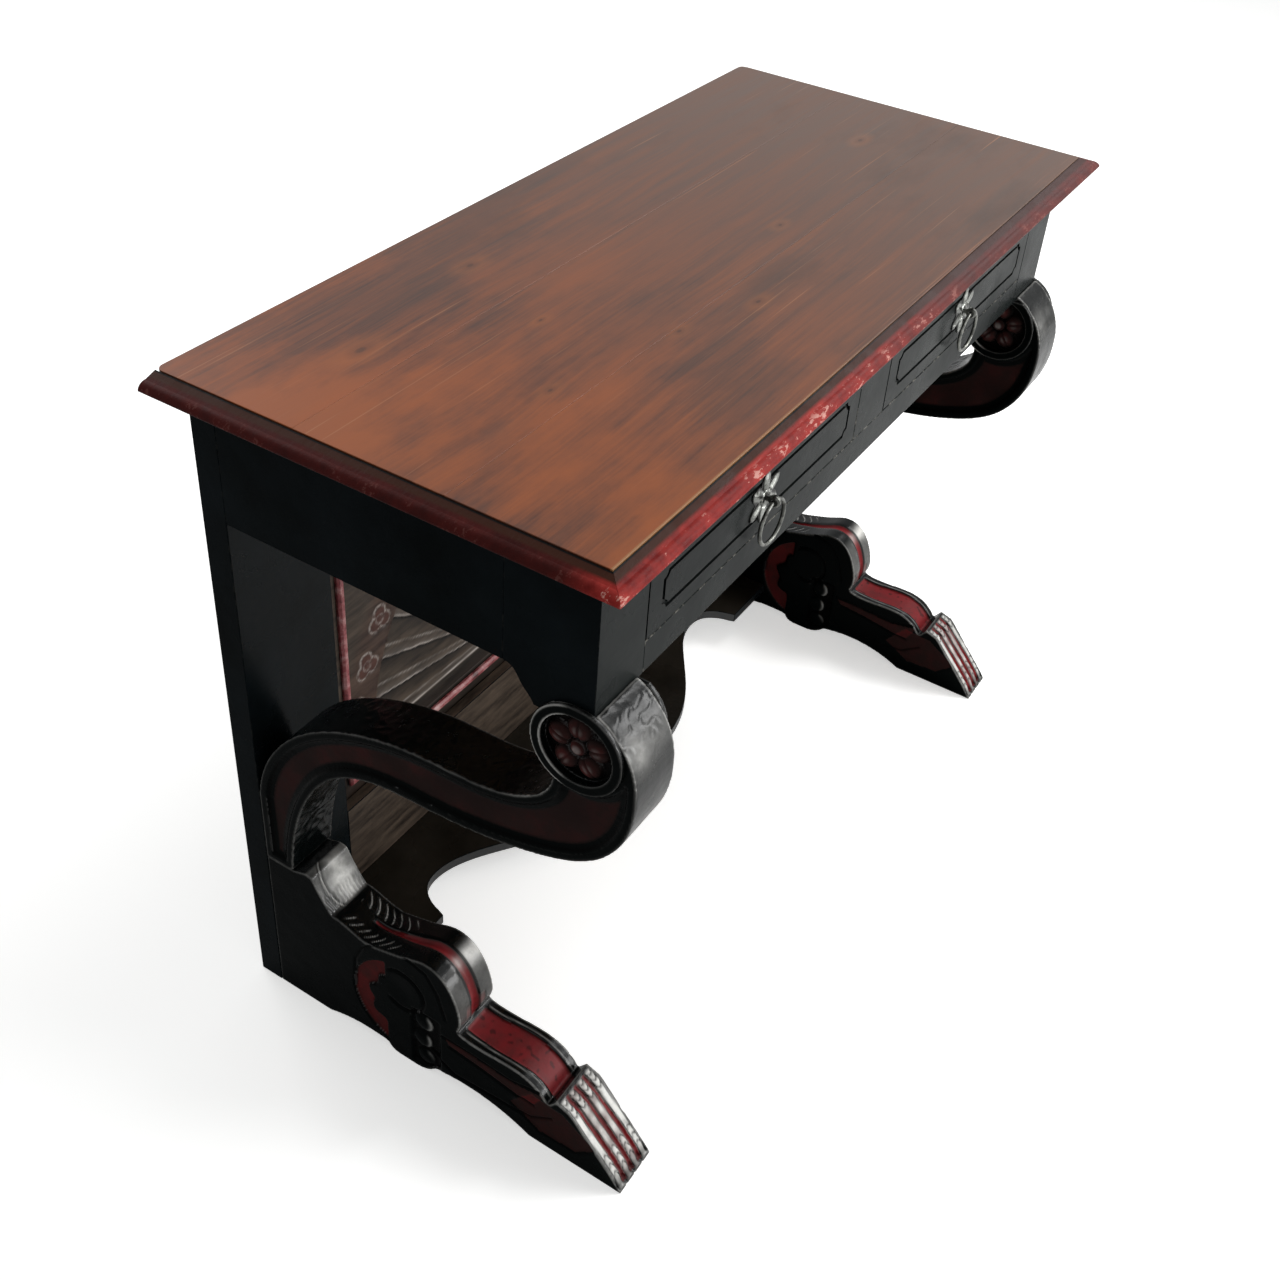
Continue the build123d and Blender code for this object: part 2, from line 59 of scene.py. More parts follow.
def setCamera(s):
    az, el, roll = (math.radians(s[k]) for k in ("azimuth", "elevation", "roll"))
    back = Vector((math.sin(az) * math.cos(el), -math.cos(az) * math.cos(el), math.sin(el)))
    right = Vector((0, 0, 1)).cross(back).normalized()
    up = back.cross(right)
    turnedRight = right * math.cos(roll) + up * math.sin(roll)
    turnedUp = up * math.cos(roll) - right * math.sin(roll)
    turned = Matrix((turnedRight, turnedUp, back)).transposed().to_4x4()
    bpy.ops.object.camera_add()
    camera = bpy.context.object
    camera.name = "camera"
    camera.matrix_world = Matrix.Translation(s["place"]) @ turned
    camera.data.sensor_width = s["sensor"]
    camera.data.sensor_fit = "HORIZONTAL"
    camera.data.lens = s["lens"]
    camera.data.shift_y = s["shiftY"]
    camera.data.clip_end = s["clipEnd"]
    bpy.context.scene.camera = camera


setCamera(cameraSetup)
print("camera set")


def linear(code):
    values = [int(code[i:i + 2], 16) / 255 for i in (1, 3, 5)]
    return tuple(v / 12.92 if v <= 0.04045 else ((v + 0.055) / 1.055) ** 2.4 for v in values) + (1,)


def only(piece):
    bpy.ops.object.select_all(action="DESELECT")
    piece.select_set(True)
    bpy.context.view_layer.objects.active = piece


# adds one shader node: its settings by name, socket values, links from other sockets, colour stops
def add(tree, kind, values=None, links=None, stops=None, **settings):
    node = tree.nodes.new(kind)
    for name, value in settings.items():
        setattr(node, name, value)
    for socket, value in (values or {}).items():
        node.inputs[socket].default_value = value
    for socket, source in (links or {}).items():
        tree.links.new(source, node.inputs[socket])
    for index, (place, tone) in enumerate(stops or []):
        band = node.color_ramp.elements
        stop = band[index] if index < len(band) else band.new(place)
        stop.position = place
        stop.color = linear(tone) if isinstance(tone, str) else (tone, tone, tone, 1)
    return node


def startMaterial(name, specular=0.5):
    material = bpy.data.materials.new(name)
    material.use_nodes = True
    tree = material.node_tree
    shader = tree.nodes["Principled BSDF"]
    shader.inputs["Specular IOR Level"].default_value = specular
    return material, tree, shader, add(tree, "ShaderNodeTexCoord").outputs["Object"]


# ends a material: its colour, its roughness over the span of a pattern, and its reliefs, each of them
# a height with a strength and a depth in millimetres, laid one over the other
def finishSurface(tree, shader, colour, pattern, rough, reliefs, span=(0.3, 0.7)):
    tree.links.new(colour, shader.inputs["Base Color"])
    limits = {"From Min": span[0], "From Max": span[1], "To Min": rough[0], "To Max": rough[1]}
    matt = add(tree, "ShaderNodeMapRange", limits, {"Value": pattern}).outputs["Result"]
    tree.links.new(matt, shader.inputs["Roughness"])
    below = {}
    for height, strength, millimetres in reliefs:
        normal = add(tree, "ShaderNodeBump", {"Strength": strength, "Distance": millimetres / 1000},
                     {"Height": height, **below}).outputs["Normal"]
        below = {"Normal": normal}
    tree.links.new(normal, shader.inputs["Normal"])
    return matt


def perMetre(millimetres):
    return 1000 / millimetres


def applyModifier(piece, kind, **settings):
    only(piece)
    change = piece.modifiers.new("change", kind)
    for name, value in settings.items():
        setattr(change, name, value)
    bpy.ops.object.modifier_apply(modifier=change.name)


# runs one edit mode operator on the whole mesh
def editWhole(piece, operator, **settings):
    only(piece)
    bpy.ops.object.mode_set(mode="EDIT")
    bpy.ops.mesh.select_all(action="SELECT")
    operator(**settings)
    bpy.ops.object.mode_set(mode="OBJECT")


# a copy of a CAD node's mesh with its loose triangles welded, ready to be worked on
def nodeCopy(node, name):
    piece = bpy.data.objects.new(name, nodes[node].data.copy())
    bpy.context.scene.collection.objects.link(piece)
    editWhole(piece, bpy.ops.mesh.remove_doubles, threshold=0.00001)
    return piece


def dress(piece, *materials):
    piece.data.materials.clear()
    for material in materials:
        piece.data.materials.append(material)


def standFor(piece, body, node):
    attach(piece, body)
    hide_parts(node)


# one row of numbers for each point, edge or face of a mesh
def readRows(items, field, width, kind=float):
    flat = np.empty(len(items) * width, dtype=kind)
    items.foreach_get(field, flat)
    return flat.reshape(-1, width)


def points(piece):
    return readRows(piece.data.vertices, "co", 3)


def normals(piece):
    return readRows(piece.data.vertices, "normal", 3)


def faceDirections(piece):
    return readRows(piece.data.polygons, "normal", 3)


def edgeEnds(piece):
    return readRows(piece.data.edges, "vertices", 2, np.int32).T


def setPoints(piece, places):
    piece.data.vertices.foreach_set("co", places.ravel())
    piece.data.update()


# three painted masks for each point: red paint, painted shade in cuts and recesses, rubbed high spots with
# painted highlights
def setPaint(piece, red, dark, rubbed):
    layer = piece.data.color_attributes.new("paint", "FLOAT_COLOR", "POINT")
    values = np.stack([red, dark, rubbed, np.ones_like(red)], axis=-1)
    layer.data.foreach_set("color", np.clip(values, 0, 1).astype(np.float32).ravel())


# 0 before low, 1 past high and smooth between them; with low above high it falls instead of rising
def step(low, high, value):
    share = np.clip((value - low) / (high - low), 0, 1)
    return share * share * (3 - 2 * share)


# rises from a to b and falls from c to d
def between(value, a, b, c, d):
    return step(a, b, value) * step(d, c, value)


def bell(value, width):
    return np.exp(-(value / width) ** 2)


# 1 at the middle of a round dome and 0 from its rim outwards
def domed(distance, radius):
    return np.sqrt(np.clip(1 - (distance / radius) ** 2, 0, 1))


# place across from the middle of the repeat that a value falls in
def repeated(value, pitch):
    turn = value / pitch
    return (turn - np.floor(turn) - 0.5) * pitch


# nearest distance from each (a, b) place to a line through the given places
def lineDistance(a, b, line):
    best = np.full(a.shape, np.inf)
    for (ax, ay), (bx, by) in zip(line[:-1], line[1:]):
        dx, dy = bx - ax, by - ay
        share = np.clip(((a - ax) * dx + (b - ay) * dy) / (dx * dx + dy * dy), 0, 1)
        best = np.minimum(best, np.hypot(a - ax - share * dx, b - ay - share * dy))
    return best


# 1 for each (a, b) place inside a closed outline, and 0 outside it
def inside(a, b, ring):
    result = np.zeros(a.shape, dtype=bool)
    for (ax, ay), (bx, by) in zip(ring, ring[1:] + ring[:1]):
        if ay != by:
            crosses = (ay > b) != (by > b)
            result ^= crosses & (a < (bx - ax) * (b - ay) / (by - ay) + ax)
    return result.astype(float)


# smooth noise over the places, between -1 and 1, with bumps of the given size
def speckle(places, millimetres):
    scale = perMetre(millimetres)
    return np.array([noise.noise(Vector(p) * scale) for p in places])


print("helpers ready")


# black lacquer brushed on hard wood: a deep, nearly mirror-like coat with brush ripples and dull patches.
# pattern sizes are millimetres; brush marks are about 1.2 wide and drawn coarser, so that they show
blackLacquer = {
    "deep": "#060a0b", "greyed": "#11171a", "bareWood": "#5b5850", "edgeWear": 0.1,
    "patch": 110, "speck": 9, "smear": 60, "ripple": 14, "brush": 3.6, "brushLong": 0.06,
    # specular levels for the front, for the ends, which reflect less as painted shade, and for the platform's     upright edges, which reflect most as a painted highlight
    "rough": (0.2, 0.36), "front": 0.07, "side": 0.012, "litGloss": 0.9,
}
# painted sheen: the drawer side of the table has a greyer lacquer, standing in for the light its fronts
# reflect, and it is scuffed to the wood along its edges
frontLacquer = {**blackLacquer, "deep": "#181b1b", "greyed": "#252827", "front": 0.032, "edgeWear": 0.7,
                "bareWood": "#8b8880"}
# the platform holds a film of dust
dustyLacquer = {**blackLacquer, "deep": "#17140f", "greyed": "#2b2721"}


def lacquerMaterial(name, s, specular, worn):
    material, tree, shader, coords = startMaterial(name, specular)
    patch = add(tree, "ShaderNodeTexNoise", {"Scale": perMetre(s["patch"]), "Detail": 5, "Roughness": 0.6},
                {"Vector": coords}).outputs["Fac"]
    colour = add(tree, "ShaderNodeValToRGB", links={"Fac": patch},
                 stops=[(0.35, s["deep"]), (0.75, s["greyed"])]).outputs["Color"]
    if worn:                                       # rubbed edges let the bare wood through in specks
        speck = add(tree, "ShaderNodeTexNoise", {"Scale": perMetre(s["speck"]), "Detail": 6,
                                                 "Roughness": 0.7}, {"Vector": coords}).outputs["Fac"]
        mask = add(tree, "ShaderNodeValToRGB", links={"Fac": speck},
                   stops=[(0.5, 0), (0.62, s["edgeWear"])]).outputs["Color"]
        colour = add(tree, "ShaderNodeMix", {7: linear(s["bareWood"])}, {0: mask, 6: colour},
                     data_type="RGBA").outputs[2]
    smear = add(tree, "ShaderNodeTexNoise", {"Scale": perMetre(s["smear"]), "Detail": 3},
                {"Vector": coords}).outputs["Fac"]
    ripple = add(tree, "ShaderNodeTexNoise", {"Scale": perMetre(s["ripple"]), "Detail": 2},
                 {"Vector": coords}).outputs["Fac"]
    strokes = add(tree, "ShaderNodeMapping", {"Scale": (s["brushLong"], 1, 1)},
                  {"Vector": coords}).outputs["Vector"]
    brush = add(tree, "ShaderNodeTexNoise", {"Scale": perMetre(s["brush"]), "Detail": 2},
                {"Vector": strokes}).outputs["Fac"]
    finishSurface(tree, shader, colour, smear, s["rough"], [(ripple, 0.2, 0.8), (brush, 0.25, 0.2)])
    return material


# carved black lacquer with dark red paint in its sunk parts, painted shade black in its cuts, and grey high
# spots
# # that are partly rubbed and partly painted highlight, under the same gloss
carvedLacquer = {
    "black": "#050808", "red": "#741b1f", "redDeep": "#33211f", "recess": "#030303", "rubbed": "#e2e1dc",
    "patch": 22, "gouge": 24, "ripple": 7, "rough": (0.13, 0.32), "paintRough": 0.5,
    # specular levels: the sides reflect least, as painted shade; lit fronts and tops most, as painted highlight;     the far pieces a middle level, as painted shade
    "side": 0.014, "litGloss": 0.24, "faded": 0.1,
}


def carvedMaterial(name, s, specular):
    material, tree, shader, coords = startMaterial(name, specular)
    paint = add(tree, "ShaderNodeAttribute", attribute_name="paint", attribute_type="GEOMETRY").outputs
    masks = add(tree, "ShaderNodeSeparateColor", links={"Color": paint["Color"]}).outputs
    patch = add(tree, "ShaderNodeTexNoise", {"Scale": perMetre(s["patch"]), "Detail": 6, "Roughness": 0.65},
                {"Vector": coords}).outputs["Fac"]
    worn = add(tree, "ShaderNodeMapRange", {"From Min": 0.35, "From Max": 0.58, "To Min": 0.6},
               {"Value": patch}).outputs["Result"]
    faded = add(tree, "ShaderNodeMapRange", {"From Min": 0.3, "From Max": 0.6, "To Min": 0.55},
                {"Value": patch}).outputs["Result"]
    depthOfRed = add(tree, "ShaderNodeMath", links={0: masks[0], 1: faded}, operation="MULTIPLY").outputs[0]
    redTone = add(tree, "ShaderNodeValToRGB", links={"Fac": depthOfRed},
                  stops=[(0.2, s["redDeep"]), (0.95, s["red"])]).outputs["Color"]
    redAmount = add(tree, "ShaderNodeMapRange", {"From Min": 0.12, "From Max": 0.35},
                    {"Value": masks[0]}).outputs["Result"]
    colour = add(tree, "ShaderNodeMix", {6: linear(s["black"])}, {0: redAmount, 7: redTone},
                 data_type="RGBA").outputs[2]
    rubAndHighlight = add(tree, "ShaderNodeMath", links={0: masks[2], 1: worn}, operation="MULTIPLY").outputs[0]
    # the rubbed tone carries the painted highlights as well as the wear, and the recess tone the painted
    # shade
    for tone, mask in (("rubbed", rubAndHighlight), ("recess", masks[1])):
        colour = add(tree, "ShaderNodeMix", {7: linear(s[tone])}, {0: mask, 6: colour},
                     data_type="RGBA").outputs[2]
    gouge = add(tree, "ShaderNodeTexVoronoi", {"Scale": perMetre(s["gouge"]), "Smoothness": 0.6},
                {"Vector": coords}, feature="SMOOTH_F1").outputs["Distance"]
    ripple = add(tree, "ShaderNodeTexNoise", {"Scale": perMetre(s["ripple"]), "Detail": 3},
                 {"Vector": coords}).outputs["Fac"]
    rough = finishSurface(tree, shader, colour, patch, s["rough"], [(gouge, 0.22, 1.4), (ripple, 0.25, 0.6)])
    rough = add(tree, "ShaderNodeMix", {3: s["paintRough"]}, {0: redAmount, 2: rough}).outputs[0]
    tree.links.new(rough, shader.inputs["Roughness"])             # the red paint is duller than the lacquer
    return material


# varnished softwood planks, planed and waxed: long grain, knots, umber stains and a satin sheen.
# wood fibres are about 1.1 millimetres apart and drawn at twice that, so that they show
plankWood = {
    "dark": "#452418", "brown": "#5e3522", "warm": "#744026", "light": "#8a4d2b",
    "stain": "#3a2b23", "orange": "#9c5224", "farSheen": "#5c493e", "seam": "#170d09", "scuff": "#b07a55",
    "edgeLight": "#a87c50", "halo": "#a4602c",
    "grain": 5, "fibre": 2.2, "figure": 18, "blotch": 150, "wander": 260, "scrape": 3,
    "rough": (0.34, 0.48), "specular": 0.28,
    "orangeEnd": (0.15, -0.45), "farSheenEnd": (-0.35, 0.35), "brinkLitEnd": (0, -0.35),    # metres along the top
    "seamDeep": (0.2, 1.2), "brinkWide": (2.4, 1.4),                                   # millimetres
    "knotRings": ((2.0, 0.18, "halo"), (0.9, 0.28, "dark"), (0.35, 0.5, "seam")),      # reach, share, tone
    "knots": ((-0.380, 0.146, 0.012), (-0.170, -0.057, 0.006), (-0.070, -0.086, 0.007),
              (0.100, -0.019, 0.006), (0.379, 0.021, 0.008), (-0.234, 0.055, 0.005),
              (-0.332, -0.025, 0.006), (-0.186, 0.174, 0.009)),                # x, y and radius, in metres
}


def plankMaterial(name, s, shift):
    material, tree, shader, coords = startMaterial(name, s["specular"])
    alongTop, acrossTop, height = add(tree, "ShaderNodeSeparateXYZ", links={"Vector": coords}).outputs

    # each plank has its own grain, and the blotches run on over the joints
    own = add(tree, "ShaderNodeMapping", {"Location": shift}, {"Vector": coords}).outputs["Vector"]
    cloud = add(tree, "ShaderNodeMapping", {"Scale": (0.45, 1, 1)}, {"Vector": coords}).outputs["Vector"]
    blotch = add(tree, "ShaderNodeTexNoise", {"Scale": perMetre(s["blotch"]), "Detail": 6, "Roughness": 0.62},
                 {"Vector": cloud}).outputs["Fac"]
    wander = add(tree, "ShaderNodeTexNoise", {"Scale": perMetre(s["wander"]), "Detail": 1},
                 {"Vector": own}).outputs["Color"]
    waved = add(tree, "ShaderNodeMix", {0: 0.018}, {6: own, 7: wander}, data_type="RGBA").outputs[2]
    long = add(tree, "ShaderNodeMapping", {"Scale": (0.045, 1, 1)}, {"Vector": waved}).outputs["Vector"]
    longest = add(tree, "ShaderNodeMapping", {"Scale": (0.02, 1, 1)}, {"Vector": waved}).outputs["Vector"]
    figure = add(tree, "ShaderNodeTexNoise", {"Scale": perMetre(s["figure"]), "Detail": 4,
                                              "Distortion": 0.15}, {"Vector": long}).outputs["Fac"]
    grain = add(tree, "ShaderNodeTexNoise", {"Scale": perMetre(s["grain"]), "Detail": 4, "Roughness": 0.6},
                {"Vector": long}).outputs["Fac"]
    fibre = add(tree, "ShaderNodeTexNoise", {"Scale": perMetre(s["fibre"]), "Detail": 3},
                {"Vector": longest}).outputs["Fac"]
    wood = add(tree, "ShaderNodeMix", {0: 0.42}, {2: figure, 3: grain}).outputs[0]
    wood = add(tree, "ShaderNodeMix", {0: 0.25}, {2: wood, 3: fibre}).outputs[0]
    tones = [(0.36, s["dark"]), (0.45, s["brown"]), (0.54, s["warm"]), (0.66, s["light"])]
    colour = add(tree, "ShaderNodeValToRGB", links={"Fac": wood}, stops=tones).outputs["Color"]

    # masks: orange towards the near end, a painted sheen of grey towards the far one, stains,
    #     # grime in the joints and edges, a painted highlight along the front brink that grows towards the
    #     near end,
    #     # and scuffs along the grain
    start, end = s["orangeEnd"]
    nearEnd = add(tree, "ShaderNodeMapRange", {"From Min": start, "From Max": end, "To Min": 0.02,
                                              "To Max": 0.85}, {"Value": alongTop}).outputs["Result"]
    spots = add(tree, "ShaderNodeMapRange", {"From Min": 0.56, "From Max": 0.4},
                {"Value": blotch}).outputs["Result"]
    orange = add(tree, "ShaderNodeMath", links={0: nearEnd, 1: spots}, operation="MULTIPLY").outputs[0]
    # painted sheen: grey rises towards the far end
    start, end = s["farSheenEnd"]
    farSheen = add(tree, "ShaderNodeMapRange", {"From Min": start, "From Max": end, "To Max": 0.75},
               {"Value": alongTop}).outputs["Result"]
    stain = add(tree, "ShaderNodeMapRange", {"From Min": 0.54, "From Max": 0.72, "To Max": 0.62},
                {"Value": blotch}).outputs["Result"]
    start, end = (topHigh - deep / 1000 for deep in s["seamDeep"])
    grime = add(tree, "ShaderNodeMapRange", {"From Min": start, "From Max": end, "To Max": 0.8},
                {"Value": height}).outputs["Result"]
    # painted highlight: a pale line along the front brink, stronger towards the near end
    start, end = (boardLow.y + wide / 1000 for wide in s["brinkWide"])
    brink = add(tree, "ShaderNodeMapRange", {"From Min": start, "From Max": end},
                {"Value": acrossTop}).outputs["Result"]
    start, end = s["brinkLitEnd"]
    brinkLit = add(tree, "ShaderNodeMapRange", {"From Min": start, "From Max": end, "To Min": 0.05,
                                              "To Max": 0.65}, {"Value": alongTop}).outputs["Result"]
    brink = add(tree, "ShaderNodeMath", links={0: brink, 1: brinkLit}, operation="MULTIPLY").outputs[0]
    scrape = add(tree, "ShaderNodeMapping", {"Scale": (0.012, 1, 1)}, {"Vector": own}).outputs["Vector"]
    scuff = add(tree, "ShaderNodeTexNoise", {"Scale": perMetre(s["scrape"]), "Detail": 2},
                {"Vector": scrape}).outputs["Fac"]
    scuff = add(tree, "ShaderNodeMapRange", {"From Min": 0.68, "From Max": 0.76, "To Max": 0.4},
                {"Value": scuff}).outputs["Result"]
    coats = [("orange", orange), ("farSheen", farSheen), ("stain", stain), ("seam", grime), ("edgeLight", brink),
             ("scuff", scuff)]
    for x, y, size in s["knots"]:                                 # long ovals, twice as long as they are wide
        flat = add(tree, "ShaderNodeMapping", {"Location": (-x * 0.5, -y, 0), "Scale": (0.5, 1, 0)},
                   {"Vector": coords}).outputs["Vector"]
        reach = add(tree, "ShaderNodeVectorMath", links={0: flat}, operation="LENGTH").outputs["Value"]
        for wide, share, tone in s["knotRings"]:
            limits = {"From Min": size * wide, "From Max": size * wide * 0.5, "To Max": share}
            coats.append((tone, add(tree, "ShaderNodeMapRange", limits, {"Value": reach}).outputs["Result"]))
    for tone, mask in coats:
        colour = add(tree, "ShaderNodeMix", {7: linear(s[tone])}, {0: mask, 6: colour},
                     data_type="RGBA").outputs[2]
    finishSurface(tree, shader, colour, wood, s["rough"], [(wood, 0.3, 0.4)])
    return material


# red paint over wood on the edge moulding, chipped to its pale ground along the nose, grimy on the slope
edgePaint = {
    "red": "#701816", "redLight": "#b03a34", "grime": "#3d2015", "line": "#050303", "chip": "#dca498",
    "blackened": "#240b08", "shaded": "#1c0503", "farGreyTone": "#473230",
    "lineWidth": 1.5, "slopeEnd": 8.5, "nose": (10, 18), "underside": (12, 16),     # millimetres out and down
    "chippedEnd": (0.12, -0.12), "farGreyEnd": (-0.2, 0.12),                         # metres along the top
    "patch": 28, "speck": 3.5, "rough": (0.3, 0.5), "specular": 0.06,
}


def edgeMaterial(name, s):
    material, tree, shader, coords = startMaterial(name, s["specular"])
    alongTop, acrossTop, height = add(tree, "ShaderNodeSeparateXYZ", links={"Vector": coords}).outputs

    # how far a place lies outside the planks, past their ends or their front edge
    either = add(tree, "ShaderNodeMath", links={0: alongTop}, operation="ABSOLUTE").outputs[0]
    pastEnd = add(tree, "ShaderNodeMath", {1: boardHigh.x}, {0: either}, operation="SUBTRACT").outputs[0]
    pastFront = add(tree, "ShaderNodeMath", {0: boardLow.y}, {1: acrossTop}, operation="SUBTRACT").outputs[0]
    reach = add(tree, "ShaderNodeMath", links={0: pastEnd, 1: pastFront}, operation="MAXIMUM").outputs[0]

    patch = add(tree, "ShaderNodeTexNoise", {"Scale": perMetre(s["patch"]), "Detail": 5, "Roughness": 0.65},
                {"Vector": coords}).outputs["Fac"]
    long = add(tree, "ShaderNodeMapping", {"Scale": (0.35, 1, 1)}, {"Vector": coords}).outputs["Vector"]
    speck = add(tree, "ShaderNodeTexNoise", {"Scale": perMetre(s["speck"]), "Detail": 6, "Roughness": 0.7},
                {"Vector": long}).outputs["Fac"]
    colour = add(tree, "ShaderNodeValToRGB", links={"Fac": patch},
                 stops=[(0.35, s["red"]), (0.7, s["redLight"])]).outputs["Color"]

    # masks: the ends lie in shade, the slope holds grime and, beside the planks, a black line of painted
    # shadow
    #     # from their step, and the far half is greyer; soft edges are about a millimetre wide
    shaded = add(tree, "ShaderNodeMapRange", {"From Min": 0.002, "From Max": -0.03, "To Max": 0.85},
                 {"Value": pastFront}).outputs["Result"]
    slopeEnd, lineEnd = s["slopeEnd"] / 1000, s["lineWidth"] / 1000
    grime = add(tree, "ShaderNodeMapRange", {"From Min": slopeEnd + 0.0015, "From Max": slopeEnd - 0.0015},
                {"Value": reach}).outputs["Result"]
    # painted shadow: a black line where the planks' step shades the moulding
    line = add(tree, "ShaderNodeMapRange", {"From Min": lineEnd + 0.0006, "From Max": lineEnd},
               {"Value": reach}).outputs["Result"]
    start, end = (topHigh - down / 1000 for down in s["underside"])
    under = add(tree, "ShaderNodeMapRange", {"From Min": start, "From Max": end},
                {"Value": height}).outputs["Result"]
    # greyer towards the far end
    start, end = s["farGreyEnd"]
    farGreying = add(tree, "ShaderNodeMapRange", {"From Min": start, "From Max": end, "To Max": 0.8},
                 {"Value": alongTop}).outputs["Result"]

    # chips sit on the nose, in front, and most of all on the near half, which was knocked and handled
    chipNoise = add(tree, "ShaderNodeMath", links={0: speck, 1: patch}, operation="MULTIPLY").outputs[0]
    chips = add(tree, "ShaderNodeValToRGB", links={"Fac": chipNoise},
                stops=[(0.315, 0), (0.345, 0.85)]).outputs["Color"]
    start, end = (out / 1000 for out in s["nose"])
    nose = add(tree, "ShaderNodeMapRange", {"From Min": start, "From Max": end},
               {"Value": reach}).outputs["Result"]
    inFront = add(tree, "ShaderNodeMapRange", {"From Min": -0.003, "From Max": 0.003, "To Min": 0.08},
                  {"Value": pastFront}).outputs["Result"]
    start, end = s["chippedEnd"]
    near = add(tree, "ShaderNodeMapRange", {"From Min": start, "From Max": end, "To Min": 0.12},
               {"Value": alongTop}).outputs["Result"]
    for share in (nose, inFront, near):
        chips = add(tree, "ShaderNodeMath", links={0: chips, 1: share}, operation="MULTIPLY").outputs[0]
    for tone, mask in (("shaded", shaded), ("grime", grime), ("line", line), ("blackened", under),
                       ("farGreyTone", farGreying), ("chip", chips)):
        colour = add(tree, "ShaderNodeMix", {7: linear(s[tone])}, {0: mask, 6: colour},
                     data_type="RGBA").outputs[2]
    finishSurface(tree, shader, colour, patch, s["rough"], [(speck, 0.5, 0.6)])
    return material


# red paint on the strips round the back panel, rubbed pink where it is handled and dark in its pores
trimPaint = {"red": "#924649", "dark": "#4d2224", "rubbed": "#bd8f8d", "patch": 16, "pore": 3,
             "rough": (0.3, 0.6)}


def trimMaterial(name, s):
    material, tree, shader, coords = startMaterial(name)
    patch = add(tree, "ShaderNodeTexNoise", {"Scale": perMetre(s["patch"]), "Detail": 6, "Roughness": 0.7},
                {"Vector": coords}).outputs["Fac"]
    pore = add(tree, "ShaderNodeTexNoise", {"Scale": perMetre(s["pore"]), "Detail": 3},
               {"Vector": coords}).outputs["Fac"]
    colour = add(tree, "ShaderNodeValToRGB", links={"Fac": patch},
                 stops=[(0.34, s["dark"]), (0.48, s["red"]), (0.66, s["rubbed"])]).outputs["Color"]
    finishSurface(tree, shader, colour, pore, s["rough"], [(pore, 0.5, 0.5)], span=(0, 1))
    return material


# unpainted softwood inside the drawers and on the runners, planed and dry
innerWood = {"dark": "#6b4a2e", "light": "#9a7650", "grain": 4, "rough": (0.55, 0.8)}


def innerMaterial(name, s):
    material, tree, shader, coords = startMaterial(name)
    long = add(tree, "ShaderNodeMapping", {"Scale": (1, 0.06, 1)}, {"Vector": coords}).outputs["Vector"]
    grain = add(tree, "ShaderNodeTexNoise", {"Scale": perMetre(s["grain"]), "Detail": 5, "Distortion": 0.3},
                {"Vector": long}).outputs["Fac"]
    colour = add(tree, "ShaderNodeValToRGB", links={"Fac": grain},
                 stops=[(0.35, s["dark"]), (0.65, s["light"])]).outputs["Color"]
    finishSurface(tree, shader, colour, grain, s["rough"], [(grain, 0.4, 0.5)], span=(0, 1))
    return material


# cast white metal of the pulls, filed and handled: bright smooth high spots, dull dark tarnish in the hollows
pewter = {"bright": "#a3a5a0", "dark": "#33332f", "hollow": "#191917", "spot": 6, "rough": (0.45, 0.22)}
blackenedPewter = {**pewter, "bright": "#7e7f7a", "dark": "#1d1d1b", "spot": 9}      # rings and their eyes


def pewterMaterial(name, s):
    material, tree, shader, coords = startMaterial(name)
    shader.inputs["Metallic"].default_value = 1
    spot = add(tree, "ShaderNodeTexNoise", {"Scale": perMetre(s["spot"]), "Detail": 6, "Roughness": 0.65},
               {"Vector": coords}).outputs["Fac"]
    colour = add(tree, "ShaderNodeValToRGB", links={"Fac": spot},
                 stops=[(0.3, s["dark"]), (0.56, s["bright"])]).outputs["Color"]
    paint = add(tree, "ShaderNodeAttribute", attribute_name="paint", attribute_type="GEOMETRY").outputs
    hollow = add(tree, "ShaderNodeSeparateColor", links={"Color": paint["Color"]}).outputs[1]
    colour = add(tree, "ShaderNodeMix", {7: linear(s["hollow"])}, {0: hollow, 6: colour},
                 data_type="RGBA").outputs[2]
    finishSurface(tree, shader, colour, spot, s["rough"], [(spot, 0.4, 0.4)])
    return material


# carved panel ground: thin dark stain over wood with dusty grey along the grain, painted highlight lines on
# # the ridges and painted shade black in the cuts
panelGround = {"stain": "#1c1612", "dust": "#54483d", "cut": "#050403", "line": "#b0a8a1", "red": "#571d1b",
               "grain": 9, "specular": 0.2, "rough": (0.35, 0.65)}


def groundMaterial(name, s):
    material, tree, shader, coords = startMaterial(name, s["specular"])
    paint = add(tree, "ShaderNodeAttribute", attribute_name="paint", attribute_type="GEOMETRY").outputs
    masks = add(tree, "ShaderNodeSeparateColor", links={"Color": paint["Color"]}).outputs
    long = add(tree, "ShaderNodeMapping", {"Scale": (0.15, 1, 1)}, {"Vector": coords}).outputs["Vector"]
    grain = add(tree, "ShaderNodeTexNoise", {"Scale": perMetre(s["grain"]), "Detail": 6, "Roughness": 0.65},
                {"Vector": long}).outputs["Fac"]
    colour = add(tree, "ShaderNodeValToRGB", links={"Fac": grain},
                 stops=[(0.3, s["stain"]), (0.7, s["dust"])]).outputs["Color"]
    redAmount = add(tree, "ShaderNodeMath", links={0: masks[0], 1: grain}, operation="MULTIPLY").outputs[0]
    for tone, mask in (("red", redAmount), ("cut", masks[1]), ("line", masks[2])):
        colour = add(tree, "ShaderNodeMix", {7: linear(s[tone])}, {0: mask, 6: colour},
                     data_type="RGBA").outputs[2]
    finishSurface(tree, shader, colour, grain, s["rough"], [(grain, 0.4, 0.6)], span=(0, 1))
    return material


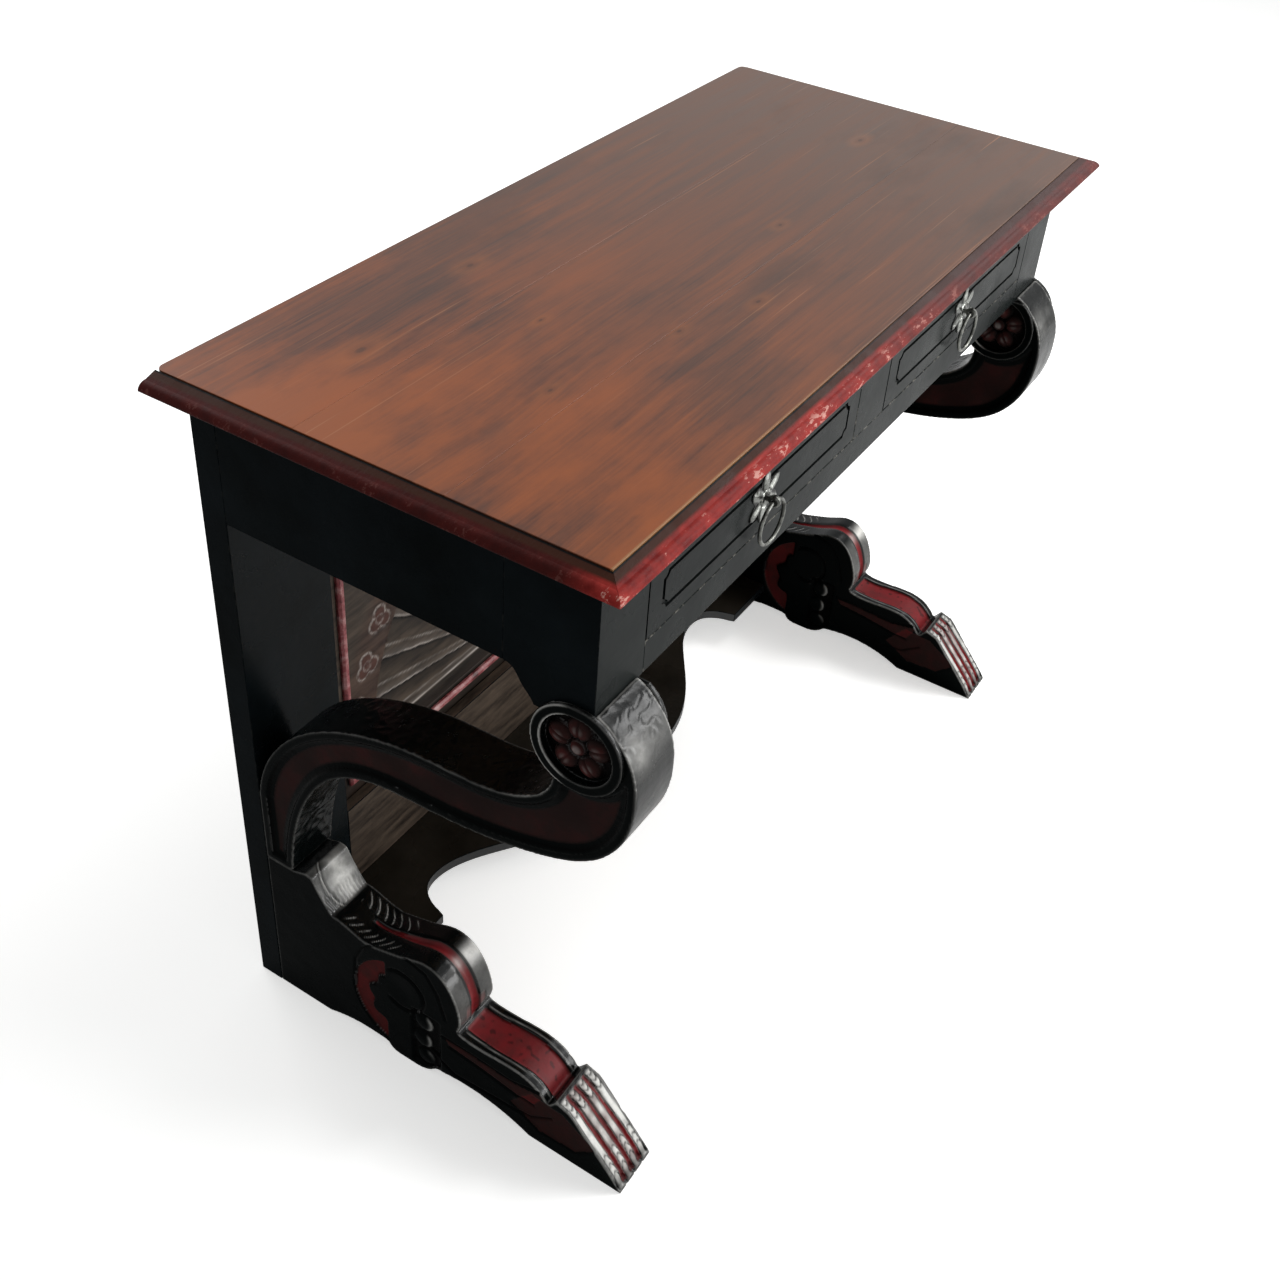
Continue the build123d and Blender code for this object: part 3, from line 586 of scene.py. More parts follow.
lacquer = lacquerMaterial("black lacquer, brushed", blackLacquer, blackLacquer["front"], False)
# painted shade: a copy of the lacquer that reflects little, for the ends of the table
lacquerSide = lacquerMaterial("black lacquer, dimmed for shade", blackLacquer, blackLacquer["side"], False)
lacquerHighlight = lacquerMaterial("black lacquer, painted highlight", blackLacquer, blackLacquer["litGloss"], False)
lacquerEdge = lacquerMaterial("black lacquer, rubbed edge", blackLacquer, blackLacquer["side"], True)
# painted sheen: the greyer lacquer of the drawer side, on its faces and on its scuffed edges
lacquerFront = lacquerMaterial("black lacquer, painted sheen", frontLacquer, frontLacquer["front"], False)
lacquerScuffed = lacquerMaterial("black lacquer, scuffed edge, painted sheen", frontLacquer, frontLacquer["front"], True)
lacquerDusty = lacquerMaterial("black lacquer, dusty", dustyLacquer, dustyLacquer["front"], False)
carved = carvedMaterial("carved lacquer, red in the cuts", carvedLacquer, carvedLacquer["side"])
carvedLitGloss = carvedMaterial("carved lacquer, glossier where lit", carvedLacquer, carvedLacquer["litGloss"])
carvedFarShade = carvedMaterial("carved lacquer, dimmed on the far side", carvedLacquer, carvedLacquer["faded"])
planks = [plankMaterial(f"varnished plank, {place}", plankWood, shift) for place, shift in
          (("front", (0.37, 0.11, 0.2)), ("middle", (1.9, 0.63, 0.5)), ("back", (3.1, 1.7, 0.9)))]
edgeRed = edgeMaterial("red paint, chipped", edgePaint)
trimRed = trimMaterial("red paint, rubbed", trimPaint)
plain = innerMaterial("planed softwood, bare", innerWood)
metal = pewterMaterial("cast white metal, tarnished", pewter)
ringMetal = pewterMaterial("cast white metal, blackened", blackenedPewter)
ground = groundMaterial("carved panel ground, stained", panelGround)
print("materials made")


# CAD nodes that keep their shape: their edges are worn round, this wide in metres
caseEdges = {"width": 0.0009, "angle": 35, "segments": 2}
boardEdges = {**caseEdges, "width": 0.0006}


# gives the chosen faces that still have the first material another one
def repaint(piece, chosen, slot):
    slots = readRows(piece.data.polygons, "material_index", 1, np.int32).ravel()
    slots[(slots == 0) & chosen] = slot
    piece.data.polygons.foreach_set("material_index", slots)


# welds a copy, joins its flat faces and rounds its sharp edges, which take the last material
def softened(node, body, slot, s, *materials):
    piece = nodeCopy(node, "soft_" + node)
    editWhole(piece, bpy.ops.mesh.dissolve_limited, angle_limit=math.radians(0.5))
    dress(piece, *materials)
    applyModifier(piece, "BEVEL", width=s["width"], segments=s["segments"], limit_method="ANGLE",
                  angle_limit=math.radians(s["angle"]), material=len(materials) - 1, use_clamp_overlap=True)
    if lacquerSide in materials:                   # painted shade: the ends reflect less than the front
        repaint(piece, np.abs(faceDirections(piece)[:, 0]) > 0.6, materials.index(lacquerSide))
    bpy.ops.object.shade_smooth_by_angle(angle=math.radians(30))
    applyModifier(piece, "WEIGHTED_NORMAL", mode="FACE_AREA", weight=100, keep_sharp=True)  # boards stay flat
    standFor(piece, body, node)
    return piece


for node in ("side_rail_left", "side_rail_right", "back_post_left", "back_post_right"):
    softened(node, "case", "black_lacquer", caseEdges, lacquer, lacquerSide, lacquerEdge)
for node in ("front_post_left", "front_post_right"):
    softened(node, "case", "black_lacquer", caseEdges, lacquerFront, lacquerSide, lacquerEdge)
for node in ("front_top_rail", "front_bottom_rail", "drawer_muntin"):
    softened(node, "case", "black_lacquer", caseEdges, lacquerFront, lacquerSide, lacquerScuffed)
platform = softened("platform", "case", "black_lacquer", caseEdges, lacquerDusty, lacquerHighlight, lacquerEdge)
repaint(platform, np.abs(faceDirections(platform)[:, 2]) < 0.5, 1)            # painted highlight: upright edges
for node in ("back_top_rail", "back_bottom_rail"):
    softened(node, "case", "black_lacquer", caseEdges, ground, lacquerEdge)
for side in ("left", "right"):
    softened(f"{side}_drawer_front", f"{side}_drawer", "black_lacquer", caseEdges,
             lacquerFront, lacquerSide, lacquerScuffed)
for node, material in zip(("top_board_front", "top_board_middle", "top_board_back"), planks):
    softened(node, "case", "varnished_planks", boardEdges, material)
for place in ("front", "left", "right"):
    softened(f"top_moulding_{place}", "case", "red_paint", boardEdges, edgeRed)
for place in ("top", "bottom", "left", "right"):
    softened(f"panel_moulding_{place}", "case", "red_paint", boardEdges, trimRed)
for name, piece in nodes.items():
    if name.startswith(("drawer_runner", "drawer_kicker")) or "_drawer_" in name:
        dress(piece, plain)
    elif "_pull_" in name:
        dress(piece, metal if name.endswith("plate") else ringMetal)
    else:
        dress(piece, lacquer)
print("case dressed")


# carving: a welded copy is remeshed finely, and its points are then cut in by where they lie
def fineCopy(node, grid, rounds):
    piece = nodeCopy(node, "carved_" + node)
    applyModifier(piece, "REMESH", mode="VOXEL", voxel_size=grid)
    applyModifier(piece, "SMOOTH", factor=0.5, iterations=rounds)
    return piece


# millimetres: depth from the back plane, height, place across from the node's middle, half its thickness
def measured(places, node):
    low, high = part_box(node)
    across = (places[:, 0] - (low.x + high.x) / 2) * 1000
    return (backY - places[:, 1]) * 1000, places[:, 2] * 1000, across, (high.x - low.x) * 500


# each point's value averaged with its neighbours', some rounds over
def spread(piece, values, rounds):
    a, b = edgeEnds(piece)
    size = len(values)
    count = np.bincount(a, minlength=size) + np.bincount(b, minlength=size) + 1
    for _ in range(rounds):
        values = (values + np.bincount(a, values[b], size) + np.bincount(b, values[a], size)) / count
    return values


# how sharply the surface bends, per millimetre: above 0 on ridges, below 0 in cuts
def ridges(piece):
    places, out = points(piece), normals(piece)
    a, b = edgeEnds(piece)
    along = places[b] - places[a]
    bend = np.sum((out[b] - out[a]) * along, axis=1) / np.maximum(np.sum(along * along, axis=1), 1e-12) / 1000
    size = len(places)
    count = np.bincount(a, minlength=size) + np.bincount(b, minlength=size)
    return spread(piece, (np.bincount(a, bend, size) + np.bincount(b, bend, size)) / count, 1)


def cutIn(piece, places, out, millimetres):
    setPoints(piece, places - out * (millimetres / 1000)[:, None])


def finishCarving(piece, node):
    only(piece)
    bpy.ops.object.shade_smooth()
    # painted light: fronts and tops take a glossier copy of the lacquer than the sides, and the far pieces a     dimmer one as painted shade
    dress(piece, carved, carvedFarShade if node.endswith("right") else carvedLitGloss)
    repaint(piece, np.abs(faceDirections(piece)[:, 0]) < 0.6, 1)       # painted light: glossy lit faces
    standFor(piece, "case", node)


# scroll legs: a coved band sunk between two beads follows the S on each side, with painted shade along its
# # walls; the outside is gouged, and the nose of the volute is scraped smooth, scratched and given a painted
# # highlight. millimetres, but the grid is in metres
legCarving = {
    "grid": 0.0017, "smooth": 3, "skin": 0.15, "bandSunk": (0.8, 1.8), "bandGap": 4,
    "cove": 1.8, "coveReach": 9, "gouge": 1.1, "gougeSize": 11, "nose": (425, 450), "noseSmooth": 0.85,
    "scratchFrom": (440, 450), "scratchAbove": (600, 615), "scratch": 0.5, "scratchSize": 14, "redCloud": 45,
    "bead": (300, 420), "noseEdge": (410, 440),
    "glintPlace": (463, 600, -14), "glintReach": 10, "glintTall": 0.55, "glintWide": 12, "glintSpot": 8,
    "glint": {"left": 0.65, "right": 0.3},
}


def carveLeg(side, s):
    node = f"scroll_leg_{side}"
    piece = fineCopy(node, s["grid"], s["smooth"])
    places, out = points(piece), normals(piece)
    depth, z, across, half = measured(places, node)
    low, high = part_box(f"rosette_outer_{side}")                  # as large as the drum of the volute
    drumDepth, drumHigh = (backY - (low.y + high.y) / 2) * 1000, (low.z + high.z) * 500
    drumRadius = (high.z - low.z) * 500
    flank = step(0.6, 0.9, np.abs(out[:, 0]))
    sunk = half - np.abs(across)
    drum = np.hypot(depth - drumDepth, z - drumHigh)
    band = flank * step(*s["bandSunk"], sunk) * step(drumRadius, drumRadius + s["bandGap"], drum)

    # how far each point of the sunk band lies from the walls that it is sunk between
    steep = (np.abs(out[:, 0]) > 0.3) & (drum > drumRadius + 1)
    walls = np.flatnonzero(steep & (sunk > s["bandSunk"][0] + 0.1) & (sunk < s["bandSunk"][1]))
    tree = KDTree(len(walls))
    for count, index in enumerate(walls):
        tree.insert((0, places[index, 1], places[index, 2]), count)
    tree.balance()
    reach = np.zeros(len(places))
    for index in np.flatnonzero(band > 0.5):
        reach[index] = tree.find((0, places[index, 1], places[index, 2]))[2] * 1000

    strips = step(0.5, 0.8, 1 - flank)
    gouges = strips * np.abs(speckle(places, s["gougeSize"])) * s["gouge"]
    gouges *= 1 - s["noseSmooth"] * step(*s["nose"], depth)
    scratches = strips * step(*s["scratchFrom"], depth) * step(*s["scratchAbove"], z) * s["scratch"]
    scratches *= bell(speckle(places, s["scratchSize"]), 0.05)
    cutIn(piece, places, out, s["cove"] * step(0, s["coveReach"], reach) + gouges + scratches + s["skin"])

    bend = ridges(piece)
    red = band * step(3, 9, reach) * (0.25 + 0.07 * speckle(places, s["redCloud"]))
    # painted shade darkens the band by its walls; light ridges are partly rubbed and partly painted highlight
    dark = band * step(4.5, 1.0, reach) * 0.9
    rubAndHighlight = step(0.08, 0.26, bend) * (0.12 + 0.5 * step(*s["bead"], depth) * step(0, 0.4, out[:, 2]))
    # painted highlight: a glint on the nose of the volute
    glintDepth, glintHigh, glintAcross = s["glintPlace"]
    glint = bell(np.hypot(depth - glintDepth, (z - glintHigh) * s["glintTall"]), s["glintReach"])
    glint *= strips * (0.35 + 0.65 * bell(across - glintAcross, s["glintWide"]))
    glint *= (0.8 + 0.35 * speckle(places, s["glintSpot"])) * s["glint"][side]
    setPaint(piece, red, dark, rubAndHighlight + strips * step(*s["noseEdge"], depth) * 0.01 + glint)
    finishCarving(piece, node)


for side in ("left", "right"):
    carveLeg(side, legCarving)
print("legs carved")


# feet: a scrolled knee with an eye on each side, a red panel along the instep and four reeds down the toe.
# millimetres, but the grid is in metres. a place is a depth from the back plane and a height, and a stretch
# of four depths or heights rises over the first two and falls over the last two
footCarving = {
    "grid": 0.0015, "smooth": 2, "skin": 0.15,
    "eye": (213, 117, 27), "rimFrom": (192, 200), "aboveSole": (9, 13),
    "crescent": (215, 82, 47, 70), "crescentEnd": (191, 187), "shadowEnd": (195, 187),
    "scallop": 3.5, "scallops": 9,
    "scrollLine": [(145, 76), (149, 125), (160, 150), (175, 166), (192, 176), (226, 175), (246, 169),
                   (261, 147), (271, 113)],
    "pocket": ((223, 228, 260, 265), (7, 12, 96, 101)), "pocketDeep": 3.4,
    "lobes": [(240, 82, 13), (238, 52, 13), (243, 24, 12)], "lobeGlintFrom": (243, 249), "lobeGlintUp": (20, 45),
    "instepLines": [[(267, 81), (309, 80), (358, 77), (412, 92)],
                    [(277, 70), (319, 66), (370, 58), (386, 57)],
                    [(250, 43), (284, 26), (331, 30), (383, 34), (409, 53)]],
    "instepRed": [(270, 80), (309, 79), (358, 76), (400, 84), (386, 60), (370, 59), (319, 67), (277, 71)],
    "toePatch": [(356, 42), (383, 76), (423, 73), (466, 45), (441, 23), (395, 20)],
    "back": (150, 162, 292, 297), "backAbove": (101, 106), "furrowDeep": 3.2, "furrowWidens": (160, 240),
    "knee": 268, "kneeFrom": (262, 276),
    "strokes": (128, 134, 196, 204), "strokePitch": 11, "strokeReach": 25,
    "leaf": (82, 86, 117, 122), "leafLines": 4, "leafNicks": (104, 110), "leafNickPitch": 5,
    "leafSweep": (102, -20), "leafShine": (107, 6),              # depths and places across
    "panel": (291, 404), "panelWide": 17, "panelDeep": 2.4, "ball": 409,
    "toe": 417, "furrowEnd": (438, 430), "reeds": 4, "reedHalf": 4.4,
    "nickPitch": 7, "nicksBefore": (441, 437), "nicksAfter": (469, 473, 489, 493), "tip": (487, 497),
    "toeShine": {"left": 1, "right": 0.6},
}


def carveFoot(side, s):
    node = f"foot_{side}"
    piece = fineCopy(node, s["grid"], s["smooth"])
    places, out = points(piece), normals(piece)
    depth, z, across, half = measured(places, node)
    flank = step(0.5, 0.8, np.abs(out[:, 0]))
    front = (1 - flank) * step(0.1, 0.4, np.maximum(out[:, 2], -out[:, 1]))
    upper = front * step(20, 40, z)
    reach = np.abs(across)
    cut = np.full(len(places), s["skin"])
    red, dark, rubAndHighlight = (np.zeros(len(places)) for _ in range(3))

    # the eye of the scroll, the red crescent behind it and the line round the scroll, with painted shade in
    # the
    #     # rim, the line and the hollow of the crescent
    x, y, radius = s["eye"]
    eye = np.hypot(depth - x, z - y)
    rim = flank * bell(eye - radius - 2, 1.9) * step(*s["rimFrom"], depth)
    x, y, inner, outer = s["crescent"]
    ring = np.hypot(depth - x, z - y)
    inner = inner + s["scallop"] * np.sin(np.arctan2(z - y, depth - x) * s["scallops"])
    crescent = flank * between(ring, inner - 1.5, inner + 1.5, outer - 1.5, outer + 1.5)
    crescent *= step(*s["crescentEnd"], depth) * step(*s["aboveSole"], z)
    line = flank * bell(lineDistance(depth, z, s["scrollLine"]), 1.5)
    cut += 2.6 * rim + 3.2 * crescent + 1.4 * line + flank * step(radius, 0, eye) * 0.9
    red += crescent * 0.5
    shadow = bell(ring - inner + 1, 2.5) * step(*s["shadowEnd"], depth) * step(*s["aboveSole"], z)
    dark += rim + line * 0.9 + flank * shadow

    # three lobes under the scroll, in a pocket, with painted shade round them and painted glints on them
    alongPocket, upPocket = s["pocket"]
    pocket = flank * between(depth, *alongPocket) * between(z, *upPocket)
    domes = np.zeros(len(places))
    for x, y, radius in s["lobes"]:
        domes = np.maximum(domes, domed(np.hypot(depth - x, z - y), radius))
    cut += pocket * s["pocketDeep"] * (1 - domes)
    dark += pocket * step(0.35, 0, domes)
    rubAndHighlight += pocket * bell(domes - 0.5, 0.2) * step(*s["lobeGlintFrom"], depth) * step(*s["lobeGlintUp"], z) * 0.4

    # lines along the instep in painted shade, its red stripe and the red patch beside the toe
    for path in s["instepLines"]:
        groove = flank * bell(lineDistance(depth, z, path), 1.5)
        cut += 1.5 * groove
        dark += groove * 0.9
    red += flank * inside(depth, z, s["instepRed"]) * 0.28
    patch = flank * inside(depth, z, s["toePatch"])
    cut += spread(piece, patch, 3) * 1.3
    red += patch * 0.26

    # the scroll's back: a red furrow down its middle with hair strokes on each side, painted shade beside the
    #     # furrow and painted highlights along the strokes and on the knee
    back = upper * between(depth, *s["back"]) * step(*s["backAbove"], z)
    width = 1.8 + 3.6 * step(*s["furrowWidens"], depth)
    furrow = back * bell(across, width)
    cut += s["furrowDeep"] * furrow
    red += step(0.2, 0.6, furrow)
    dark += back * bell(reach - width - 2.5, 1.1) * 0.8
    fan = repeated(depth + 0.03 * (reach - 4) ** 2 + 3.0 * speckle(places, 40), s["strokePitch"])
    stroked = upper * between(depth, *s["strokes"]) * step(s["strokeReach"], s["strokeReach"] - 5, reach)
    clear = np.where(across < 0, 11, 5)                          # the strokes keep off the middle of the back
    stroked *= step(clear, clear + 4, reach)
    cut += 0.8 * stroked * bell(fan, 0.9)
    rubAndHighlight += 0.8 * stroked * bell(fan - 1.5, 0.6)
    rubAndHighlight += back * step(*s["kneeFrom"], depth) * step(7, 10, reach) * 0.12
    rubAndHighlight += back * step(7, 10, across) * bell(depth - s["knee"], 7) * 0.95
    rubAndHighlight += furrow * bell(depth - s["knee"], 6) * 0.5

    # the leaf facet under the leg carries a painted highlight; its two curved lines and the short gouges at
    #     # its foot are darkened as painted shade
    leaf = upper * between(depth, *s["leaf"])
    sweepDepth, sweepAcross = s["leafSweep"]
    sweep = across - sweepAcross - 0.03 * (depth - sweepDepth) ** 2
    cut += leaf * (bell(sweep, 1.0) + bell(sweep - s["leafLines"], 1.0))
    dark += leaf * (bell(sweep, 0.9) + bell(sweep - s["leafLines"], 0.9)) * 0.8
    nickPitch = s["leafNickPitch"]
    nicks = leaf * bell(repeated(across + 0.5 * nickPitch * speckle(places, 9), nickPitch), 1.1)
    nicks *= step(*s["leafNicks"], depth)
    cut += nicks * 0.9
    dark += nicks * 0.5
    shineDepth, shineAcross = s["leafShine"]
    shine = 0.14 + 1.2 * bell(np.hypot(across - shineAcross, depth - shineDepth), 14)
    rubAndHighlight += leaf * shine * (0.85 + 0.45 * speckle(places, 9))
    rubAndHighlight += leaf * bell(sweep - s["leafLines"] / 2, 0.9) * 0.5

    # the instep's red panel between raised dark lips, with painted shade at their inner edge and a thin
    # painted
    #     # highlight on them
    low, high = s["panel"]
    wave = s["panelWide"] + 1.2 * np.sin(depth / 17)
    panel = upper * between(depth, low - 2, low + 2, high - 2, high + 2) * step(wave + 1, wave - 1, reach)
    cut += s["panelDeep"] * panel
    red += panel * 1.2
    dark += panel * step(0.32, 0.5, speckle(places, 7)) * 0.6
    lip = upper * between(depth, low, low + 5, high - 5, high)
    dark += lip * bell(reach - wave - 1.6, 1.0) * 0.9
    rubAndHighlight += lip * bell(reach - wave - 4, 0.8) * 0.3

    # the toe: red in the furrows between its reeds, crescent nicks at both ends of each reed, painted shade
    #     # along the reed edges and in the nicks, and painted highlights on the reeds
    toe = front * step(s["toe"], s["toe"] + 4, depth) * step(3, 7, z)
    reedPitch = 2 * half / s["reeds"]
    sway = 1.4 * np.sin((depth - s["toe"]) / 13) * step(half, half - 6, reach)
    reed = np.abs(across + sway) % reedPitch - reedPitch / 2     # place across from the middle of a reed
    furrows = step(s["reedHalf"], s["reedHalf"] + 1, np.abs(reed))
    middle = step(reedPitch + 3, reedPitch, reach)               # the two middle reeds keep more of their red
    trench = furrows * step(half - 2, half - 4, reach)
    cut += toe * step(*s["furrowEnd"], depth) * trench * 2.2
    red += toe * trench * 1.2 + toe * middle * 0.6
    dark += toe * bell(np.abs(reed) - 4.2, 0.8)
    curved = repeated(depth + np.where(depth > 455, -0.25, 0.25) * reed ** 2, s["nickPitch"])
    ends = step(*s["nicksBefore"], depth) + between(depth, *s["nicksAfter"])
    nicks = toe * ends * (1 - furrows) * bell(curved, 1.0)
    cut += nicks * 1.2
    dark += nicks * 0.8
    tip = toe * step(*s["tip"], depth)                           # the reeds round over above the floor
    cut += tip * (1.4 + 0.08 * reed ** 2)
    dark += tip * 0.7
    shine = (0.7 + 0.7 * bell(reed, 3)) * s["toeShine"][side]
    rubAndHighlight += toe * (1 - furrows) * shine * (1 - middle * (0.3 + 0.5 * speckle(places, 11)))
    dark += upper * bell(depth - s["ball"], 3)

    cutIn(piece, places, out, cut)
    bend = ridges(piece)
    setPaint(piece, red, dark, rubAndHighlight + step(0.08, 0.26, bend) * (0.12 + 0.2 * step(255, 275, depth)))
    finishCarving(piece, node)


for side in ("left", "right"):
    carveFoot(side, footCarving)
print("feet carved")


# rosettes in the volutes: five grooved petals round a button, sunk behind a rim. millimetres, but the grid
# is in metres
rosetteCarving = {
    "grid": 0.001, "smooth": 1, "rim": 46, "recess": 35.4, "floorDrop": 9, "petals": 5, "ring": 20,
    "petal": 12.8, "tall": 7.4, "groove": 1.5, "button": 8.5, "buttonTall": 8.2,
}


def carveRosette(place, s):
    node = f"rosette_{place}"
    piece = fineCopy(node, s["grid"], s["smooth"])
    places, out = points(piece), normals(piece)
    low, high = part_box(node)
    outwards = 1 if (place.startswith("outer") == (high.x > 0)) else -1
    floor = (high.x if outwards > 0 else low.x) - outwards * s["floorDrop"] / 1000
    along = (places[:, 1] - (low.y + high.y) / 2) * 1000
    up = (places[:, 2] - low.z) * 1000 - s["rim"]
    rise = (places[:, 0] - floor) * outwards * 1000
    radius = np.hypot(along, up)
    field = (radius < s["recess"]) & (rise > -0.7) & (out[:, 0] * outwards > -0.4)
    height = np.zeros(len(places))
    for index in range(s["petals"]):
        turn = math.radians(90 + 360 / s["petals"] * index)
        a, b = along - s["ring"] * math.cos(turn), up - s["ring"] * math.sin(turn)
        tangent = b * math.cos(turn) - a * math.sin(turn)
        dome = s["tall"] * domed(np.hypot(a, b), s["petal"])
        height = np.maximum(height, dome - np.minimum(dome, s["groove"] * bell(tangent, 1.3)))
    height = np.maximum(height, s["buttonTall"] * domed(radius, s["button"]))
    height = height - np.minimum(height, 1.3 * bell(radius - s["button"] - 1, 1.1))
    moved = places.copy()
    moved[field, 0] = floor + outwards * height[field] / 1000
    setPoints(piece, moved)
    bend = ridges(piece)
    field = field.astype(float)
    # painted shade in the low parts and by the rim wall, painted glints on the petal tops
    red = field * (0.2 + 0.12 * step(3, 7, height) + 0.08 * speckle(places, 12))
    dark = field * (step(4.6, 0.4, height) * 0.9 + step(30, 34, radius))
    rearwards = step(-6, -20, -along)                            # painted highlight along the rim's rear edge
    rubAndHighlight = field * step(6.4, 8.2, height) * 0.22
    rubAndHighlight += (1 - field) * step(0.05, 0.28, bend) * (0.06 + 0.5 * rearwards)
    setPaint(piece, red, dark, rubAndHighlight)
    finishCarving(piece, node)


for place in ("outer_left", "outer_right", "inner_left", "inner_right"):
    carveRosette(place, rosetteCarving)
print("rosettes carved")


# back panel: a rising sun whose rays end on a half circle, with a trefoil beyond the end of each ray, over
# a plain band and a plain field. millimetres and degrees; the sun's place is from the middle and the floor
panelCarving = {
    "columns": 346, "rows": 226, "sun": (0, 228), "sunRadius": 58,
    "rayStep": 10, "rayEnd": 304, "rayDepth": 3.4, "fineCut": 0.34,
    "trefoilRing": 331, "lobe": 10.8, "lobeReach": 8.7, "heart": 5, "redRing": (301, 308, 345, 370),
    "border": 200, "deepest": 6,
}


def carvePanel(s):
    low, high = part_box("carved_panel")
    bpy.ops.object.select_all(action="DESELECT")
    bpy.ops.mesh.primitive_grid_add(x_subdivisions=s["columns"], y_subdivisions=s["rows"], size=1,
                                    location=((low.x + high.x) / 2, low.y, (low.z + high.z) / 2),
                                    rotation=(math.radians(90), 0, 0))
    piece = bpy.context.object
    piece.name = "carved_sun_panel"
    piece.scale = (high.x - low.x, high.z - low.z, 1)
    bpy.ops.object.transform_apply(location=True, rotation=True, scale=True)
    places = points(piece)
    x, z = places[:, 0] * 1000, places[:, 2] * 1000
    across = np.abs(x)
    sunX, sunZ = s["sun"]
    radius = np.hypot(x - sunX, z - sunZ)
    angle = np.degrees(np.arctan2(z - sunZ, x - sunX))
    risen = step(sunZ - 1, sunZ + 1, z)                          # 1 above the horizon of the sun

    # rays: each is cut deeper towards one edge and has a finer cut near the other; painted shade darkens the
    #     # deep side, and the painted highlight lines along the cuts are broken here and there
    mirrored = np.where(angle > 90, 180 - angle, angle) + 0.3 * speckle(places, 14)
    turn = np.minimum(mirrored, 89.99) / s["rayStep"]            # no ray starts right at the top
    share = turn - np.floor(turn)
    wide = radius * math.radians(s["rayStep"])
    rayStart, rayEnd = s["sunRadius"] + 3, s["rayEnd"]
    rays = risen * between(radius, rayStart, rayStart + 3, rayEnd - 1.5, rayEnd + 1.5)
    fade = step(s["sunRadius"], s["sunRadius"] + 70, radius)
    fine = rays * bell((share - s["fineCut"]) * wide, 1.1) * fade
    broken = 0.35 + 0.65 * step(-0.3, 0.2, speckle(places, 34))
    cut = rays * s["rayDepth"] * (0.25 + 0.75 * share ** 0.8) * (0.35 + 0.65 * fade) + fine * 0.8
    dark = rays * (bell((1 - share) * wide, 3.0) * 0.9 + step(0.35, 1, share) * 0.6)
    rubAndHighlight = (rays * bell(share * wide - 1.4, 1.1) + fine * 0.5) * broken + rays * step(0.3, 0, share) * 0.12

    # the sun: a low dome in a round groove
    disc = risen * step(s["sunRadius"] + 1, s["sunRadius"] - 1, radius)
    cut += disc * (2.5 - 2.3 * domed(radius, s["sunRadius"]))
    cut += bell(radius - s["sunRadius"] - 2, 1.6) * risen * 2.2

    # trefoils: three lobes round a heart, one of them pointing back at the sun, outlined in painted highlight
    red = np.zeros(len(x))
    for place in range(s["rayStep"], 91, s["rayStep"]):
        middleX = sunX + s["trefoilRing"] * math.cos(math.radians(place))
        middleZ = sunZ + s["trefoilRing"] * math.sin(math.radians(place))
        lobes = np.full(len(x), np.inf)
        for around in (60, 180, 300):
            a = across - middleX - s["lobeReach"] * math.cos(math.radians(place + around))
            b = z - middleZ - s["lobeReach"] * math.sin(math.radians(place + around))
            lobes = np.minimum(lobes, np.hypot(a, b) - s["lobe"])
        hearts = np.hypot(across - middleX, z - middleZ) - s["heart"]
        cut += bell(lobes, 1.1) * 1.6 + bell(hearts, 1.1) * 1.3
        rubAndHighlight += bell(lobes + 1.2, 0.9) * 0.75 + bell(hearts - 1, 0.8) * 0.5
        red += step(2, -4, lobes) * 0.5
    red += between(radius, *s["redRing"]) * 0.25

    # the band under the sun and the field below it, both darker, with painted highlight lines along their
    # edges
    under = step(s["border"] + 1.5, s["border"] - 1.5, z)
    band = step(sunZ - 0.5, sunZ - 2.5, z) * (1 - under)
    cut += bell(z - s["border"], 1.4) * 1.6 + bell(z - sunZ + 2, 1.2) * 1.4 + band * 0.6 + under * 1.0
    dark += under * 0.7 + band * 0.75
    rubAndHighlight += bell(z - s["border"] - 1.8, 0.8) * 0.5 + bell(z - sunZ - 0.5, 0.7) * 0.6
    cut += np.abs(speckle(places, 60)) * 0.5 * rays
    places[:, 1] += np.clip(cut, 0, s["deepest"]) / 1000
    setPoints(piece, places)

    # its rim is drawn back to the CAD's back face and closed there
    only(piece)
    bpy.ops.object.mode_set(mode="EDIT")
    bpy.ops.mesh.select_mode(type="EDGE")
    bpy.ops.mesh.select_all(action="DESELECT")
    bpy.ops.mesh.select_non_manifold()
    bpy.ops.mesh.extrude_edges_move()
    bpy.ops.transform.resize(value=(1, 0, 1), center_override=(0, high.y, 0))
    bpy.ops.mesh.edge_face_add()
    bpy.ops.mesh.select_all(action="SELECT")
    bpy.ops.mesh.normals_make_consistent(inside=False)
    bpy.ops.object.mode_set(mode="OBJECT")
    bpy.ops.object.shade_smooth_by_angle(angle=math.radians(50))
    rest = np.zeros(len(piece.data.vertices) - len(x))           # the added points of the back stay unpainted
    setPaint(piece, *(np.append(mask, rest) for mask in (red, dark, rubAndHighlight)))
    dress(piece, ground)
    standFor(piece, "case", "carved_panel")


carvePanel(panelCarving)
print("panel carved")


# pull plates: six ridged petals round a boss, cast and filed. millimetres, but the grid is in metres
plateShape = {
    "grid": 0.0005, "petals": 6, "ridge": 3.3, "edge": 0.7, "half": 7, "ridgeEnd": (31, 20),
    "vein": 0.5, "veinEnd": (26, 20), "boss": 8, "bossTall": 3.4,
}


